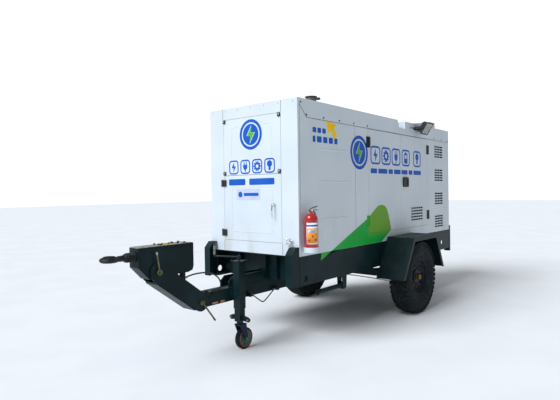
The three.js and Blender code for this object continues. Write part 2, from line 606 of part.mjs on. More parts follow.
// ---- Doors and the lift-off panel, each lying in its opening flush with the wall.
{
  const half = FRONT_OPENING.x - SLIP;
  const [low, high] = FRONT_OPENING.z;
  const pinX = -FRONT_OPENING.x;
  const knuckle = (z) => join(bar("z", [z - 33, z + 33], [pinX, -HINGE_OFFSET], 8, 10),
    block([pinX, pinX + 36], [-14, 1], [z - 33, z + 33]));
  const door = block([-half, half], [0, WALL - 2], [low + SLIP, FRONT_SEAM_Z - 2]);
  add("front_door", join(door, knuckle(1058), knuckle(1573)), WHITE_PAINT());

  const blocks = [];
  for (const x of [-1, 1]) {
    for (const z of [FRONT_SEAM_Z + 22, high - SLIP - 18]) {
      blocks.push(block([x * 372 - 15, x * 372 + 15], [-12, 1], [z - 17, z + 17]));
    }
  }
  const panel = block([-half, half], [0, WALL - 2], [FRONT_SEAM_Z + 2, high - SLIP]);
  add("front_panel", join(panel, ...blocks), WHITE_PAINT());

  const handleX = 302;
  const boss = bar("y", [-14, -GAP], [handleX, 1352], 17, 16);
  const grip = link("y", [-44, -30], [handleX, 1352], [handleX - 4, 1232], 9, 4);
  const neck = bar("y", [-40, -10], [handleX, 1352], 10, 12);
  add("front_handle", join(boss, neck, grip), CHROME());
}
{
  const w = CANOPY_HALF_WIDTH;
  const pinX = w + HINGE_OFFSET;
  const [z0, z1] = [SIDE_OPENING.z[0] + SLIP, SIDE_OPENING.z[1] - SLIP];
  const slab = (y) => block([w - WALL + 2, w], y, [z0, z1]);
  const knuckle = (y, way, z) => join(bar("z", [z - 60, z + 60], [pinX, y], 8, 10),
    block([w - 1, w + 14], way > 0 ? [y, y + 34] : [y - 34, y], [z - 60, z + 60]));
  const [frontPin, rearPin] = SIDE_OPENING.y;
  const frontDoor = slab([frontPin + SLIP, SIDE_SEAM_Y - 2]);
  addPair("side_door_front", join(frontDoor, knuckle(frontPin, 1, 2020), knuckle(frontPin, 1, 1130)),
    WHITE_PAINT);
  const rearDoor = cut(slab([SIDE_SEAM_Y + 2, rearPin - SLIP]), ...louvreSlots([2414, 2762], 1072, 5, 38));
  addPair("side_door_rear", join(rearDoor, knuckle(rearPin, -1, 2024), knuckle(rearPin, -1, 1129)),
    WHITE_PAINT);

  const paddle = extrude("x", [w + GAP, w + 16], rounded([2165, 2318], [1512, 1638], 26), 4);
  const recess = extrude("x", [w + 9, w + 20], rounded([2200, 2292], [1540, 1610], 18), 3);
  addPair("door_latch", cut(paddle, recess), BLACK_PLASTIC);
}

// ---- Drain valve's wing knob on the front wall.
{
  const [x, z] = [490, 1010];
  const stem = bar("y", [-30, -GAP], [x, z], 13, 12);
  const lobes = [45, 135, 225, 315].map((angle) => {
    const a = THREE.MathUtils.degToRad(angle);
    return link("y", [-42, -26], [x, z], [x + 34 * Math.cos(a), z + 34 * Math.sin(a)], 10, 3);
  });
  add("valve_knob", join(stem, ...lobes), CHROME());
}

// ---- Exhaust outlet: a pipe from the silencer up through the roof, closed by a hinged rain cap.
{
  const { x, y, radius, top } = EXHAUST;
  const silencerZ = 2040;
  const pipe = bar("z", [silencerZ, top], [x, y], radius, 20);
  const bore = bar("z", [silencerZ + 70, top + 1], [x, y], radius - 5, 20);
  const elbow = bar("y", [y, 760], [x, silencerZ + 30], radius - 8, 16);
  const ear = block([x - 8, x + 8], [y + radius - 4, y + radius + 26], [top - 22, top - 2]);
  add("exhaust_pipe", join(cut(join(pipe, elbow), bore), ear), CAST_GREY());

  const lid = bar("z", [top + 2, top + 9], [x, y], radius + 12, 20);
  const arms = [-18, 10].map((u) => block([x + u, x + u + 8], [y, y + radius + 58], [top + 2, top + 8]));
  const weight = block([x - 30, x + 30], [y + radius + 44, y + radius + 76], [top - 10, top + 14]);
  add("rain_cap", join(lid, ...arms, weight), CAST_GREY());

  const drum = bar("y", [760 + GAP, 1700], [x - 60, silencerZ], 135, 24);
  const inlet = bar("y", [1690, 1860], [x - 60, silencerZ], 45, 14);
  add("silencer", join(drum, inlet), CAST_GREY());
}

// ---- Floodlight: a yoke bolted to the roof's skirt and a finned lamp tilted down and outwards.
{
  const { x, y, z, tilt } = LAMP;
  const w = CANOPY_HALF_WIDTH;
  const half = 104;
  const plate = block([w + GAP, w + 6], [y - 118, y + 118], [2262, 2300]);
  const arm = (at) => prism("y", [at, at + 5],
    [[w + 3, 2264], [w + 3, 2298], [x + 12, z + 16], [x + 12, z - 16]]);
  add("floodlight_bracket", join(plate, arm(y - half - 9), arm(y + half + 4),
    block([w + 3, w + 14], [y - half - 9, y + half + 9], [2266, 2296])), BLACK_PLASTIC());

  const place = (geometry) => {
    geometry.rotateY(THREE.MathUtils.degToRad(tilt));
    geometry.translate(x, y, z);
    return solidOf(geometry);
  };
  const box = (size, centre) => {
    const geometry = new THREE.BoxGeometry(...size);
    geometry.translate(...centre);
    return place(geometry);
  };
  const body = box([42, 2 * half - 10, 150], [0, 0, 0]);
  const rim = cut(box([14, 2 * half, 170], [26, 0, 0]), box([10, 2 * half - 26, 144], [31, 0, 0]));
  const fins = [-72, -36, 0, 36, 72].map((v) => box([24, 6, 120], [-30, v, 0]));
  const pins = new THREE.CylinderGeometry(6, 6, 2 * half + 6, 10);
  add("floodlight_head", join(body, rim, ...fins, place(pins)), BLACK_PLASTIC());
}

// ---- Fire extinguisher: a bottle in a wall bracket, with its valve and squeeze levers.
{
  const { x, y, z, radius, height } = BOTTLE;
  const top = z + height;
  const bottle = turned("z", [[0, 0], [radius - 6, 0], [radius, 8], [radius, height - 48],
    [radius - 14, height - 18], [26, height], [17, height + 4], [17, height + 20], [0, height + 20]],
  [x, y], z, 24);
  const valve = block([x - 13, x + 13], [y - 22, y + 24], [top + 18, top + 42]);
  const carry = block([x - 9, x + 9], [y + 10, y + 92], [top + 30, top + 37]);
  add("extinguisher", join(bottle, valve, carry), RED_PAINT());

  const lever = prism("x", [x - 9, x + 9], [[y - 4, top + 46], [y + 16, top + 46], [y + 96, top + 62],
    [y + 96, top + 68], [y + 10, top + 56], [y - 4, top + 54]]);
  add("extinguisher_lever", lever, BLACK_PLASTIC());

  const w = CANOPY_HALF_WIDTH;
  const back = block([w + GAP, w + 5], [y - 26, y + 26], [z - 16, z + 240]);
  const shelf = bar("z", [z - 14, z - 4], [x, y], radius + 7, 20);
  const wall = cut(bar("z", [z - 8, z + 34], [x, y], radius + 7, 20),
    bar("z", [z - 4, z + 40], [x, y], radius + 2, 20));
  const tongue = block([w + 2, x], [y - 26, y + 26], [z - 14, z - 4]);
  add("extinguisher_bracket", join(back, shelf, wall, tongue), WHITE_PAINT());
}

// ---- Rear lamps on the cross member.
addPair("tail_lamp", join(
  extrude("y", [CANOPY_LENGTH + GAP, CANOPY_LENGTH + 34], rounded([250, 420], [770, 850], 14), 3),
  block([262, 408], [CANOPY_LENGTH + 30, CANOPY_LENGTH + 40], [782, 838])), LENS_RED);

// ---- The generating set: engine, alternator, radiator and fan in line on two rails.
{
  const rails = bothSides((side) => block(span(side, 200, 270), [560, 2900], [DECK_Z, 950]));
  const crankcase = block([-200, 200], [1560, 2520], [1090, 1480]);
  const sump = block([-150, 150], [1620, 2420], [960, 1100]);
  const heads = block([-120, 120], [1600, 2480], [1470, 1660]);
  const flywheel = bar("y", [1490, 1570], [0, CRANKSHAFT_Z], 230, 20);
  const feet = bothSides((side) => block(span(side, 170, 262), [1660, 1740], [949, 1140]));
  const frontFeet = bothSides((side) => block(span(side, 170, 262), [2360, 2440], [949, 1140]));
  const pulley = bar("y", [2510, 2570], [0, CRANKSHAFT_Z - 90], 90, 16);
  const manifold = block([110, 190], [1680, 2400], [1500, 1590]);
  const ties = [600, 2580].map((y) => block([-205, 205], [y, y + 60], [DECK_Z, 920]));
  add("engine", join(crankcase, sump, heads, flywheel, feet, frontFeet, pulley, manifold, rails, ...ties),
    ENGINE_PAINT());

  const stator = bar("y", [760, 1490 - GAP], [0, CRANKSHAFT_Z], 255, 20);
  const terminal = block([-170, 170], [820, 1150], [CRANKSHAFT_Z + 200, CRANKSHAFT_Z + 380]);
  const stand = bothSides((side) => block(span(side, 150, 262), [860, 1380], [950 + GAP, 1150]));
  add("alternator", join(stator, terminal, stand), CAST_GREY());

  const core = block([-430, 430], [2790, 2880], [960, 1980]);
  const tanks = join(block([-430, 430], [2775, 2895], [1960, 2060]),
    block([-430, 430], [2775, 2895], [DECK_Z + GAP, 975]));
  const shroud = cut(block([-400, 400], [2690, 2791], [1000, 1900]),
    bar("y", [2680, 2800], [0, 1450], 355, 24));
  const railCut = bothSides((side) => block(span(side, 190, 280), [2700, 2902], [860, 956]));
  add("radiator", cut(join(core, tanks, shroud), railCut), ALUMINIUM());

  const blades = Array.from({ length: 7 }, (_, i) => {
    const blade = new THREE.BoxGeometry(90, 12, 260);
    blade.rotateZ(THREE.MathUtils.degToRad(28));
    blade.translate(0, 0, 190);
    blade.rotateY((2 * Math.PI * i) / 7);
    blade.translate(0, FAN_Y + 74, 1450);
    return solidOf(blade);
  });
  const hub = bar("y", [FAN_Y, FAN_Y + 100], [0, 1450], 75, 16);
  add("fan", join(hub, ...blades), BLACK_PLASTIC());

  const cabinet = cut(block([-340, 340], [60, 330], [1010, 2080]),
    block([-325, 325], [75, 331], [1025, 2065]));
  const legs = bothSides((side) => block(span(side, 290, 340), [60, 330], [DECK_Z + GAP, 1012]));
  add("control_cabinet", join(cabinet, legs), PALE_SHEET());

  const battery = block([300, 540], [420, 620], [DECK_Z + GAP, 1080]);
  const posts = [340, 500].map((x) => bar("z", [1079, 1098], [x, 470], 9, 8));
  add("battery", join(battery, ...posts), BLACK_PLASTIC());
}

trailer.position.y = -(TRAILER_FRONT + TRAILER_REAR) / 2;

export default trailer;
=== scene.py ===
import json
import math

import bmesh
import bpy
from mathutils import Matrix, Vector

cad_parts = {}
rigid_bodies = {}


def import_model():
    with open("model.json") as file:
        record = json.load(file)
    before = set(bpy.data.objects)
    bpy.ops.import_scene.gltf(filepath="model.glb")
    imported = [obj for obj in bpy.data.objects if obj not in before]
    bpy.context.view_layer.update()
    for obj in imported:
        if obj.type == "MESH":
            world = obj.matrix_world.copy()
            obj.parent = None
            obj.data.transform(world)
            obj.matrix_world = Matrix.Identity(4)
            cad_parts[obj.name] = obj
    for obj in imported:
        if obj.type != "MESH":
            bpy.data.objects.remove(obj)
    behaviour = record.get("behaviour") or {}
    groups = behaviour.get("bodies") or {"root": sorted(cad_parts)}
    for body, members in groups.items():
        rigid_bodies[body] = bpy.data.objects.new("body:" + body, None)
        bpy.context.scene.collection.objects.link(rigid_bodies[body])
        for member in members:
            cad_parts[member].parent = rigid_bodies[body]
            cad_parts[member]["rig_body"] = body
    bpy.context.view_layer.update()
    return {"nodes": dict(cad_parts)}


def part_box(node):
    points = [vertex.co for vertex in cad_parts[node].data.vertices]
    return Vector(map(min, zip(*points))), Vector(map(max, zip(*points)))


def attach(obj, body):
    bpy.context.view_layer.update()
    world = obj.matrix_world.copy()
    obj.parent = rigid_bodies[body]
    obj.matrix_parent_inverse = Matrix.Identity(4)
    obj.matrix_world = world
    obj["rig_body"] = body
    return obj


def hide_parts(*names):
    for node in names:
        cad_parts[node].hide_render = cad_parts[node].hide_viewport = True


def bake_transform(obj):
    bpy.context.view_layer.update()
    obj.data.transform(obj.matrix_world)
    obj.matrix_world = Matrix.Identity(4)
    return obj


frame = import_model()

# ---- Camera: at standing eye height off the trailer's front left corner, on a slightly wide lens.
# It looks back along the trailer and very slightly down, and is held a touch off level.

scene = bpy.context.scene
camera = bpy.data.objects.new("camera", bpy.data.cameras.new("camera"))
scene.collection.objects.link(camera)
scene.camera = camera
camera.data.lens = 31.18
heading, pitch, roll = math.radians(39.7885), math.radians(-1.0124), math.radians(-0.8448)
camera.matrix_world = (Matrix.Translation((3.3282, -4.6117, 1.4794)) @ Matrix.Rotation(heading, 4, "Z")
                       @ Matrix.Rotation(math.pi / 2 + pitch, 4, "X") @ Matrix.Rotation(roll, 4, "Z"))

# ---- Studio: a seamless pale floor under an even white sky, with one very large soft key light
# high in front of the trailer, so that its front is bright and its long side is in open shade.


def add(tree, kind, inputs=None, **settings):
    """A node of one kind in a tree, with its settings, and each input's value or feeding socket."""
    node = tree.nodes.new(kind)
    for name, value in settings.items():
        setattr(node, name, value)
    for name, value in (inputs or {}).items():
        if isinstance(value, bpy.types.NodeSocket):
            tree.links.new(value, node.inputs[name])
        else:
            node.inputs[name].default_value = value
    return node


def colour(code):
    """An sRGB hex colour as linear red, green, blue and alpha."""
    parts = [int(code[i:i + 2], 16) / 255 for i in (1, 3, 5)]
    return (*(p / 12.92 if p <= 0.04045 else ((p + 0.055) / 1.055) ** 2.4 for p in parts), 1)


def coating(name, **shader):
    """A new material: its node tree, its Principled shader and the piece's own coordinates."""
    material = bpy.data.materials.new(name)
    material.use_nodes = True
    tree = material.node_tree
    tree.nodes.clear()
    inputs = {key.replace("_", " ").title().replace("Ior", "IOR"): value for key, value in shader.items()}
    surface = add(tree, "ShaderNodeBsdfPrincipled", inputs)
    add(tree, "ShaderNodeOutputMaterial", {"Surface": surface.outputs["BSDF"]})
    return material, tree, surface, add(tree, "ShaderNodeTexCoord").outputs["Object"]


def patches(tree, place, size, low, high, detail=4.0, stretch=(1, 1, 1)):
    """Soft patches of a size in metres: 0 below the noise level low, 1 above high."""
    moved = add(tree, "ShaderNodeMapping", {"Vector": place, "Scale": stretch}).outputs[0]
    noise = add(tree, "ShaderNodeTexNoise", {"Vector": moved, "Scale": 1 / size, "Detail": detail})
    return add(tree, "ShaderNodeMapRange", {"Value": noise.outputs["Fac"], "From Min": low, "From Max": high},
               interpolation_type="SMOOTHSTEP").outputs[0]


def tinted(tree, share, under, over):
    """The colour under with the colour over laid on it where share is 1."""
    under, over = (colour(c) if isinstance(c, str) else c for c in (under, over))
    return add(tree, "ShaderNodeMix", {0: share, 6: under, 7: over}, data_type="RGBA").outputs[2]


def relief(tree, surface, *layers):
    """Bumps on a surface: each layer is a height and the metres that a height of 1 stands up."""
    normal = None
    for height, metres in layers:
        inputs = {"Height": height, "Distance": metres}
        if normal:
            inputs["Normal"] = normal
        normal = add(tree, "ShaderNodeBump", inputs).outputs[0]
    tree.links.new(normal, surface.inputs["Normal"])


def feed(tree, surface, **sockets):
    """Links values to the shader's inputs by name."""
    for name, value in sockets.items():
        tree.links.new(value, surface.inputs[name.replace("_", " ")])


def above(tree, place, axis, start, end):
    """0 below start and 1 above end along one axis of the piece's coordinates."""
    parts = add(tree, "ShaderNodeSeparateXYZ", {0: place})
    return add(tree, "ShaderNodeMapRange", {"Value": parts.outputs[axis], "From Min": start, "From Max": end},
               interpolation_type="SMOOTHSTEP").outputs[0]


def lying(tree, start=0.35, end=0.95):
    """1 on faces that look up, where dust settles, and 0 on upright ones."""
    normal = add(tree, "ShaderNodeNewGeometry").outputs["Normal"]
    return above(tree, normal, "Z", start, end)


def product(tree, first, second):
    return add(tree, "ShaderNodeMath", {0: first, 1: second}, operation="MULTIPLY").outputs[0]


# Matte studio paint: an even pale grey-white with a trace of unevenness from the roller.
floor_paint, tree, surface, place = coating("matte_studio_paint", roughness=0.9)
feed(tree, surface, Base_Color=tinted(tree, patches(tree, place, 0.8, 0.35, 0.65), "#f2f3f4", "#f6f7f7"))
relief(tree, surface, (patches(tree, place, 0.004, 0.3, 0.7), 0.0002))
floor_mesh = bpy.data.meshes.new("floor")
floor_half = 60
floor_mesh.from_pydata([(x, y, 0) for x, y in ((-floor_half, -floor_half), (floor_half, -floor_half),
                                               (floor_half, floor_half), (-floor_half, floor_half))],
                       [], [(0, 1, 2, 3)])
floor_mesh.materials.append(floor_paint)
floor = bpy.data.objects.new("floor", floor_mesh)
scene.collection.objects.link(floor)

scene.view_settings.view_transform = "Standard"
world = bpy.data.worlds.new("sky")
scene.world = world
world.use_nodes = True
tree = world.node_tree
tree.nodes.clear()
seen = add(tree, "ShaderNodeLightPath").outputs["Is Camera Ray"]
sky_on_object, sky_seen = 0.375, 1.2    # softer on the object than the white that the eye sees
strength = add(tree, "ShaderNodeMapRange", {"Value": seen, "To Min": sky_on_object,
                                            "To Max": sky_seen}).outputs[0]
sky = add(tree, "ShaderNodeBackground", {"Color": colour("#f4f9ff"), "Strength": strength})
add(tree, "ShaderNodeOutputWorld", {"Surface": sky.outputs[0]})
key = bpy.data.objects.new("key_light", bpy.data.lights.new("key_light", "SUN"))
key_strength, key_spread = 3.3, math.radians(35)
key.data.energy = key_strength
key.data.angle = key_spread
key.data.color = colour("#f2f7ff")[:3]
key_turn, key_lean = math.radians(-14), math.radians(48)
key.matrix_world = Matrix.Rotation(key_turn, 4, "Z") @ Matrix.Rotation(key_lean, 4, "X")
scene.collection.objects.link(key)

# ---- Canopy sheet metal: walls, doors, roof and hood are folded 2 mm steel, powder coated white.
# Panels lie flush in their openings, and the hinges and fasteners on them are black nylon, but for
# the lower front hinge of each side door, which the green film is laid over.

# Powder-coated steel: fine orange peel, slow waves of thin sheet, and a little road dust low down.
powder_coat, tree, surface, place = coating("powder_coated_steel", roughness=0.4, coat_weight=0.06,
                                            coat_roughness=0.25)
soiled = product(tree, patches(tree, place, 0.16, 0.42, 0.8, 6, (1, 1, 0.3)),
                 above(tree, place, "Z", 1.5, 0.8))
runs = product(tree, patches(tree, place, 0.03, 0.52, 0.8, 5, (1, 1, 0.06)),
               above(tree, place, "Z", 1.2, 2.2))
clean = tinted(tree, patches(tree, place, 0.5, 0.35, 0.7), "#ced8df", "#d5dee4")
faded = tinted(tree, product(tree, runs, patches(tree, place, 0.6, 0.45, 0.65)), clean, "#c8d1d6")
feed(tree, surface, Base_Color=tinted(tree, soiled, faded, "#c3c6c2"))
relief(tree, surface, (patches(tree, place, 0.55, 0.2, 0.8, 1), 0.0035),
       (patches(tree, place, 0.003, 0.3, 0.7, 1), 0.00006))

# Moulded black nylon: a fine spark-eroded grain that greys where the weather has worn it.
nylon, tree, surface, place = coating("moulded_nylon", roughness=0.5)
feed(tree, surface, Base_Color=tinted(tree, patches(tree, place, 0.02, 0.4, 0.75), "#121416", "#24282a"))
relief(tree, surface, (patches(tree, place, 0.0015, 0.3, 0.7, 1), 0.0001))


# Painted shade in the air slots: their inside faces are soot-dark, with an open-celled grain.
slot_shade_finish, tree, surface, place = coating("acoustic_foam", roughness=0.95, specular_ior_level=0.1)
feed(tree, surface, Base_Color=tinted(tree, patches(tree, place, 0.01, 0.35, 0.7), "#141617", "#26292b"))
relief(tree, surface, (patches(tree, place, 0.004, 0.3, 0.7, 2), 0.0008))


def piece(name, mesh, body, slot, *finishes):
    """A finished piece: its mesh with its finishes and the body it rides on; its slot is not used."""
    obj = bpy.data.objects.new(name, mesh)
    scene.collection.objects.link(obj)
    for finish in finishes:
        mesh.materials.append(finish)
    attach(obj, body)
    return obj


def settled(obj):
    """The piece with its modifiers made part of its mesh."""
    depsgraph = bpy.context.evaluated_depsgraph_get()
    mesh = bpy.data.meshes.new_from_object(obj.evaluated_get(depsgraph), depsgraph=depsgraph)
    obj.modifiers.clear()
    obj.data = mesh
    return obj


def eased(obj, width, segments=2, angle=32):
    """Rounds a piece's edges by a small bevel and shades the rest smooth."""
    obj.data.shade_smooth()
    bevel = obj.modifiers.new("eased", "BEVEL")
    bevel.width, bevel.segments, bevel.angle_limit = width, segments, math.radians(angle)
    bevel.limit_method = "ANGLE"
    obj.modifiers.new("weighted", "WEIGHTED_NORMAL").keep_sharp = True
    return settled(obj)


def refined(node, width, slot, finish, *others, belongs=None, segments=2, cuts=()):
    """Stands for a CAD node: its solid with eased edges, and each face in the finish it belongs to.
    Cuts are (axis, place) planes through its openings, so that no flat face is left as a ring."""
    source = frame["nodes"][node]
    shape = bmesh.new()
    shape.from_mesh(source.data)
    bmesh.ops.remove_doubles(shape, verts=shape.verts, dist=2e-5)
    for axis, place in cuts:
        normal = Vector([float(axis == i) for i in range(3)])
        cut = bmesh.ops.bisect_plane(shape, geom=shape.verts[:] + shape.edges[:] + shape.faces[:],
                                     plane_co=normal * place, plane_no=normal)
        for edge in (part for part in cut["geom_cut"] if isinstance(part, bmesh.types.BMEdge)):
            edge.seam = True
    bmesh.ops.dissolve_limit(shape, angle_limit=math.radians(0.5), verts=shape.verts, edges=shape.edges,
                             delimit={"SEAM"})
    for face in shape.faces:
        face.material_index = belongs(face.calc_center_median()) if belongs else 0
    mesh = bpy.data.meshes.new(node + "_shape")
    shape.to_mesh(mesh)
    shape.free()
    obj = piece(node + "_made", mesh, source["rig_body"], slot, finish, *others)
    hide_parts(node)
    return eased(obj, width, segments)


wall_gap = 0.0303
front_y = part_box("canopy_side_left")[0].y - wall_gap    # outer face of the front wall
side_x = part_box("canopy_roof")[1].x                     # outer face of the left wall
rear_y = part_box("canopy_rear")[1].y
roof_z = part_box("canopy_front")[1].z
deck_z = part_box("canopy_front")[0].z


# Printed vinyl: the sweep is leaf green, turning olive towards its rear tip and lime along its top.
sweep_vinyl, tree, surface, place = coating("printed_green_vinyl", roughness=0.45, specular_ior_level=0.2)
rearwards = above(tree, place, "Y", front_y + 1.24, front_y + 1.34)
slope = add(tree, "ShaderNodeVectorMath", {0: place, 1: (0, -0.385, 0.923)},
            operation="DOT_PRODUCT").outputs["Value"]
crest = add(tree, "ShaderNodeMapRange", {"Value": slope, "From Min": 0.93, "From Max": 1.13},
            interpolation_type="SMOOTHSTEP").outputs[0]
green = tinted(tree, patches(tree, place, 0.3, 0.35, 0.7), "#00a83a", "#0aae40")
limed = tinted(tree, crest, green, "#4cab3a")
feed(tree, surface,
     Base_Color=tinted(tree, product(tree, rearwards, above(tree, place, "Z", 0.93, 1.02)), limed,
                                      "#6aa521"))


def in_front_wall(middle):
    """1 on what stands proud of the front wall's sheet."""
    return int(middle.y < front_y - 0.0005)


def in_side_wall(middle):
    """1 on what stands proud of a side wall's sheet, 2 on the faces inside its air slots, painted dark as
    shade, 3 on the hinge that the green film is laid over."""
    reach, along = side_x - abs(middle.x), middle.y - front_y
    if reach < -0.0005 and 1.24 < along < 1.35 and middle.z < 1.3:
        return 3
    in_wall_slot = 3.193 < along < 3.482
    in_door_slot = 2.412 < along < 2.764 and 1.06 < middle.z < 1.28
    return 1 if reach < -0.0005 else 2 * (0.0008 < reach < 0.0292 and (in_wall_slot or in_door_slot))


for node in ("canopy_front", "front_panel", "front_door"):
    refined(node, 0.002, "canopy_paint", powder_coat, nylon, belongs=in_front_wall)
doorway_middle, wall_slots_middle, door_slots_middle = front_y + 2.12, front_y + 3.3375, front_y + 2.588
# The faces inside the side walls' air slots take the dark slot finish, which is painted shade.
for node, middles in (("canopy_side", (doorway_middle, wall_slots_middle)), ("side_door_front", ()),
                      ("side_door_rear", (door_slots_middle,))):
    for side in ("_left", "_right"):
        refined(node + side, 0.002, "canopy_paint", powder_coat, nylon, slot_shade_finish, sweep_vinyl,
                belongs=in_side_wall, cuts=[(1, along) for along in middles])
for node in ("canopy_rear", "canopy_roof", "roof_hood"):
    refined(node, 0.0025, "canopy_paint", powder_coat)

# ---- Seams: grey sealant in the joints between the canopy's sheets, the creases pressed across the
# side walls to stiffen them, and the rounded beads pressed into the front door and panel.


def bead(name, points, radius, bury, body, slot, finish, closed=False):
    """A round bead along straight runs, sunk into the sheet it lies on, with rounded ends."""
    curve = bpy.data.curves.new(name, "CURVE")
    curve.dimensions = "3D"
    curve.bevel_depth, curve.bevel_resolution, curve.use_fill_caps = radius, 2, True
    spline = curve.splines.new("POLY")
    spline.points.add(len(points) - 1)
    spline.use_cyclic_u = closed
    for knot, point in zip(spline.points, points):
        knot.co = (*(Vector(point) - Vector(bury)), 1)
    obj = bpy.data.objects.new(name, curve)
    depsgraph = bpy.context.evaluated_depsgraph_get()
    scene.collection.objects.link(obj)
    depsgraph.update()
    mesh = bpy.data.meshes.new_from_object(obj.evaluated_get(depsgraph), depsgraph=depsgraph)
    bpy.data.objects.remove(obj)
    mesh.shade_smooth()
    return piece(name, mesh, body, slot, finish)


def rounded_box(u0, u1, v0, v1, radius, steps=5):
    """Points round a rectangle with rounded corners, anticlockwise from the lower left."""
    points = []
    for u, v, start in ((u0 + radius, v0 + radius, 180), (u1 - radius, v0 + radius, 270),
                        (u1 - radius, v1 - radius, 0), (u0 + radius, v1 - radius, 90)):
        for i in range(steps + 1):
            angle = math.radians(start + 90 * i / steps)
            points.append((u + radius * math.cos(angle), v + radius * math.sin(angle)))
    return points


# Polyurethane sealant: a matte grey skin that picks up dirt unevenly along the joint.
sealant, tree, surface, place = coating("polyurethane_sealant", roughness=0.75)
feed(tree, surface, Base_Color=tinted(tree, patches(tree, place, 0.05, 0.35, 0.7), "#6f7880", "#596067"))
relief(tree, surface, (patches(tree, place, 0.006, 0.3, 0.7), 0.0003))

for x in (-0.395, 0.395):
    for z in ((deck_z + 0.004, 0.98), (2.236, roof_z - 0.004)):
        bead(f"front_joint_{x > 0:d}_{z[0] > 1:d}", [(x, front_y, z[0]), (x, front_y, z[1])], 0.0026,
             (0, -0.0006, 0),
             "trailer", "canopy_paint", sealant)
for sign, side in ((1, "left"), (-1, "right")):
    x, sunk = sign * side_x, (sign * 0.0008, 0, 0)
    edge = [(0.029, 2.293), (0.141, 2.175), (3.722, 2.175)]
    bead(f"skirt_joint_{side}", [(x, front_y + y, z) for y, z in edge], 0.0034, sunk, "trailer",
         "canopy_paint", sealant)
    bead(f"skirt_lap_{side}", [(x, front_y + 2.58, 2.18), (x, front_y + 2.58, roof_z - 0.004)], 0.0024, sunk,
         "trailer", "canopy_paint", sealant)
    bead(f"corner_joint_{side}", [(x, front_y + 0.0302, deck_z + 0.004), (x, front_y + 0.0302, 2.29)],
         0.0022, sunk,
         "trailer", "canopy_paint", sealant)
    bead(f"wall_joint_{side}", [(x, front_y + 1.017, deck_z + 0.004), (x, front_y + 1.017, 2.172)], 0.0022,
         sunk,
         "trailer", "canopy_paint", sealant)
    for i, z in enumerate((1.89, 1.57, 1.20)):
        bead(f"wall_crease_{side}_{i}", [(x, front_y + y, z) for y in (0.355, 0.37, 0.848, 0.863)], 0.011,
             (sign * 0.0052, 0, 0), "trailer", "canopy_paint", powder_coat)
    for i, z in enumerate((1.20, 1.53, 1.865)):
        bead(f"louvre_crease_{side}_{i}", [(x, front_y + y, z) for y in (3.12, 3.62)], 0.009,
             (sign * 0.0046, 0, 0),
             "trailer", "canopy_paint", powder_coat)
outline = rounded_box(-0.275, 0.275, 1.075, 1.53, 0.045)
bead("front_door_bead", [(x, front_y, z) for x, z in outline], 0.007, (0, -0.0044, 0), "door_front",
     "canopy_paint",
     powder_coat, closed=True)
for way, side in ((1, "left"), (-1, "right")):
    corner = rounded_box(0.0, 0.275, 1.82, 2.145, 0.045)[11:18]
    outline = [(0.275, 1.835), *corner, (0.165, 2.145)]
    bead(f"front_panel_bead_{side}", [(way * x, front_y, z) for x, z in outline], 0.007, (0, -0.0044, 0),
         "panel_front", "canopy_paint", powder_coat)

# ---- Screws: stainless pan-head screws hold the roof's skirt, the front edge and the corner posts,
# each on a dark rubber washer.

group = bpy.data.node_groups.new("screw_row", "GeometryNodeTree")
tree_face = group.interface
tree_face.new_socket(name="Places", in_out="INPUT", socket_type="NodeSocketGeometry")
for label, value in (("Head Radius", 0.005), ("Head Height", 0.003), ("Washer Radius", 0.009)):
    tree_face.new_socket(name=label, in_out="INPUT", socket_type="NodeSocketFloat").default_value = value
tree_face.new_socket(name="Facing", in_out="INPUT", socket_type="NodeSocketVector")
for label in ("Head Finish", "Washer Finish"):
    tree_face.new_socket(name=label, in_out="INPUT", socket_type="NodeSocketMaterial")
tree_face.new_socket(name="Screws", in_out="OUTPUT", socket_type="NodeSocketGeometry")
given = add(group, "NodeGroupInput").outputs
head = add(group, "GeometryNodeMeshUVSphere", {"Segments": 10, "Rings": 6, "Radius": given["Head Radius"]})
flat = add(group, "ShaderNodeMath", {0: given["Head Height"], 1: given["Head Radius"]}, operation="DIVIDE")
scale = add(group, "ShaderNodeCombineXYZ", {0: 1.0, 1: 1.0, 2: flat.outputs[0]})
dome = add(group, "GeometryNodeTransform", {"Geometry": head.outputs["Mesh"], "Scale": scale.outputs[0]})
dome = add(group, "GeometryNodeSetMaterial", {"Geometry": dome.outputs[0], "Material": given["Head Finish"]})
thin = add(group, "ShaderNodeMath", {0: given["Head Height"], 1: 0.5}, operation="MULTIPLY")
washer = add(group, "GeometryNodeMeshCylinder", {"Vertices": 12, "Radius": given["Washer Radius"],
                                                 "Depth": thin.outputs[0]})
washer = add(group, "GeometryNodeSetMaterial", {"Geometry": washer.outputs["Mesh"],
                                                "Material": given["Washer Finish"]})
both = add(group, "GeometryNodeJoinGeometry", {"Geometry": dome.outputs[0]})
group.links.new(washer.outputs[0], both.inputs[0])
turned = add(group, "FunctionNodeAlignRotationToVector", {"Vector": given["Facing"]}, axis="Z")
placed = add(group, "GeometryNodeInstanceOnPoints", {"Points": given["Places"], "Instance": both.outputs[0],
                                                     "Rotation": turned.outputs[0]})
add(group, "NodeGroupOutput",
    {0: add(group, "GeometryNodeRealizeInstances", {0: placed.outputs[0]}).outputs[0]})
screw_row = group


def grown(name, start, group, body, slot, **sizes):
    """A piece made by a Geometry Nodes tree from a starting mesh, as a plain mesh."""
    obj = piece(name, start, body, slot)
    modifier = obj.modifiers.new(name, "NODES")
    modifier.node_group = group
    for socket in group.interface.items_tree:
        key = socket.name.replace(" ", "_").lower()
        if socket.in_out == "INPUT" and key in sizes:
            modifier[socket.identifier] = sizes[key]
    obj.update_tag()
    return settled(obj)


def points(name, places):
    """A mesh of loose points, for a tree to set pieces on."""
    mesh = bpy.data.meshes.new(name)
    mesh.from_pydata([tuple(p) for p in places], [], [])
    return mesh


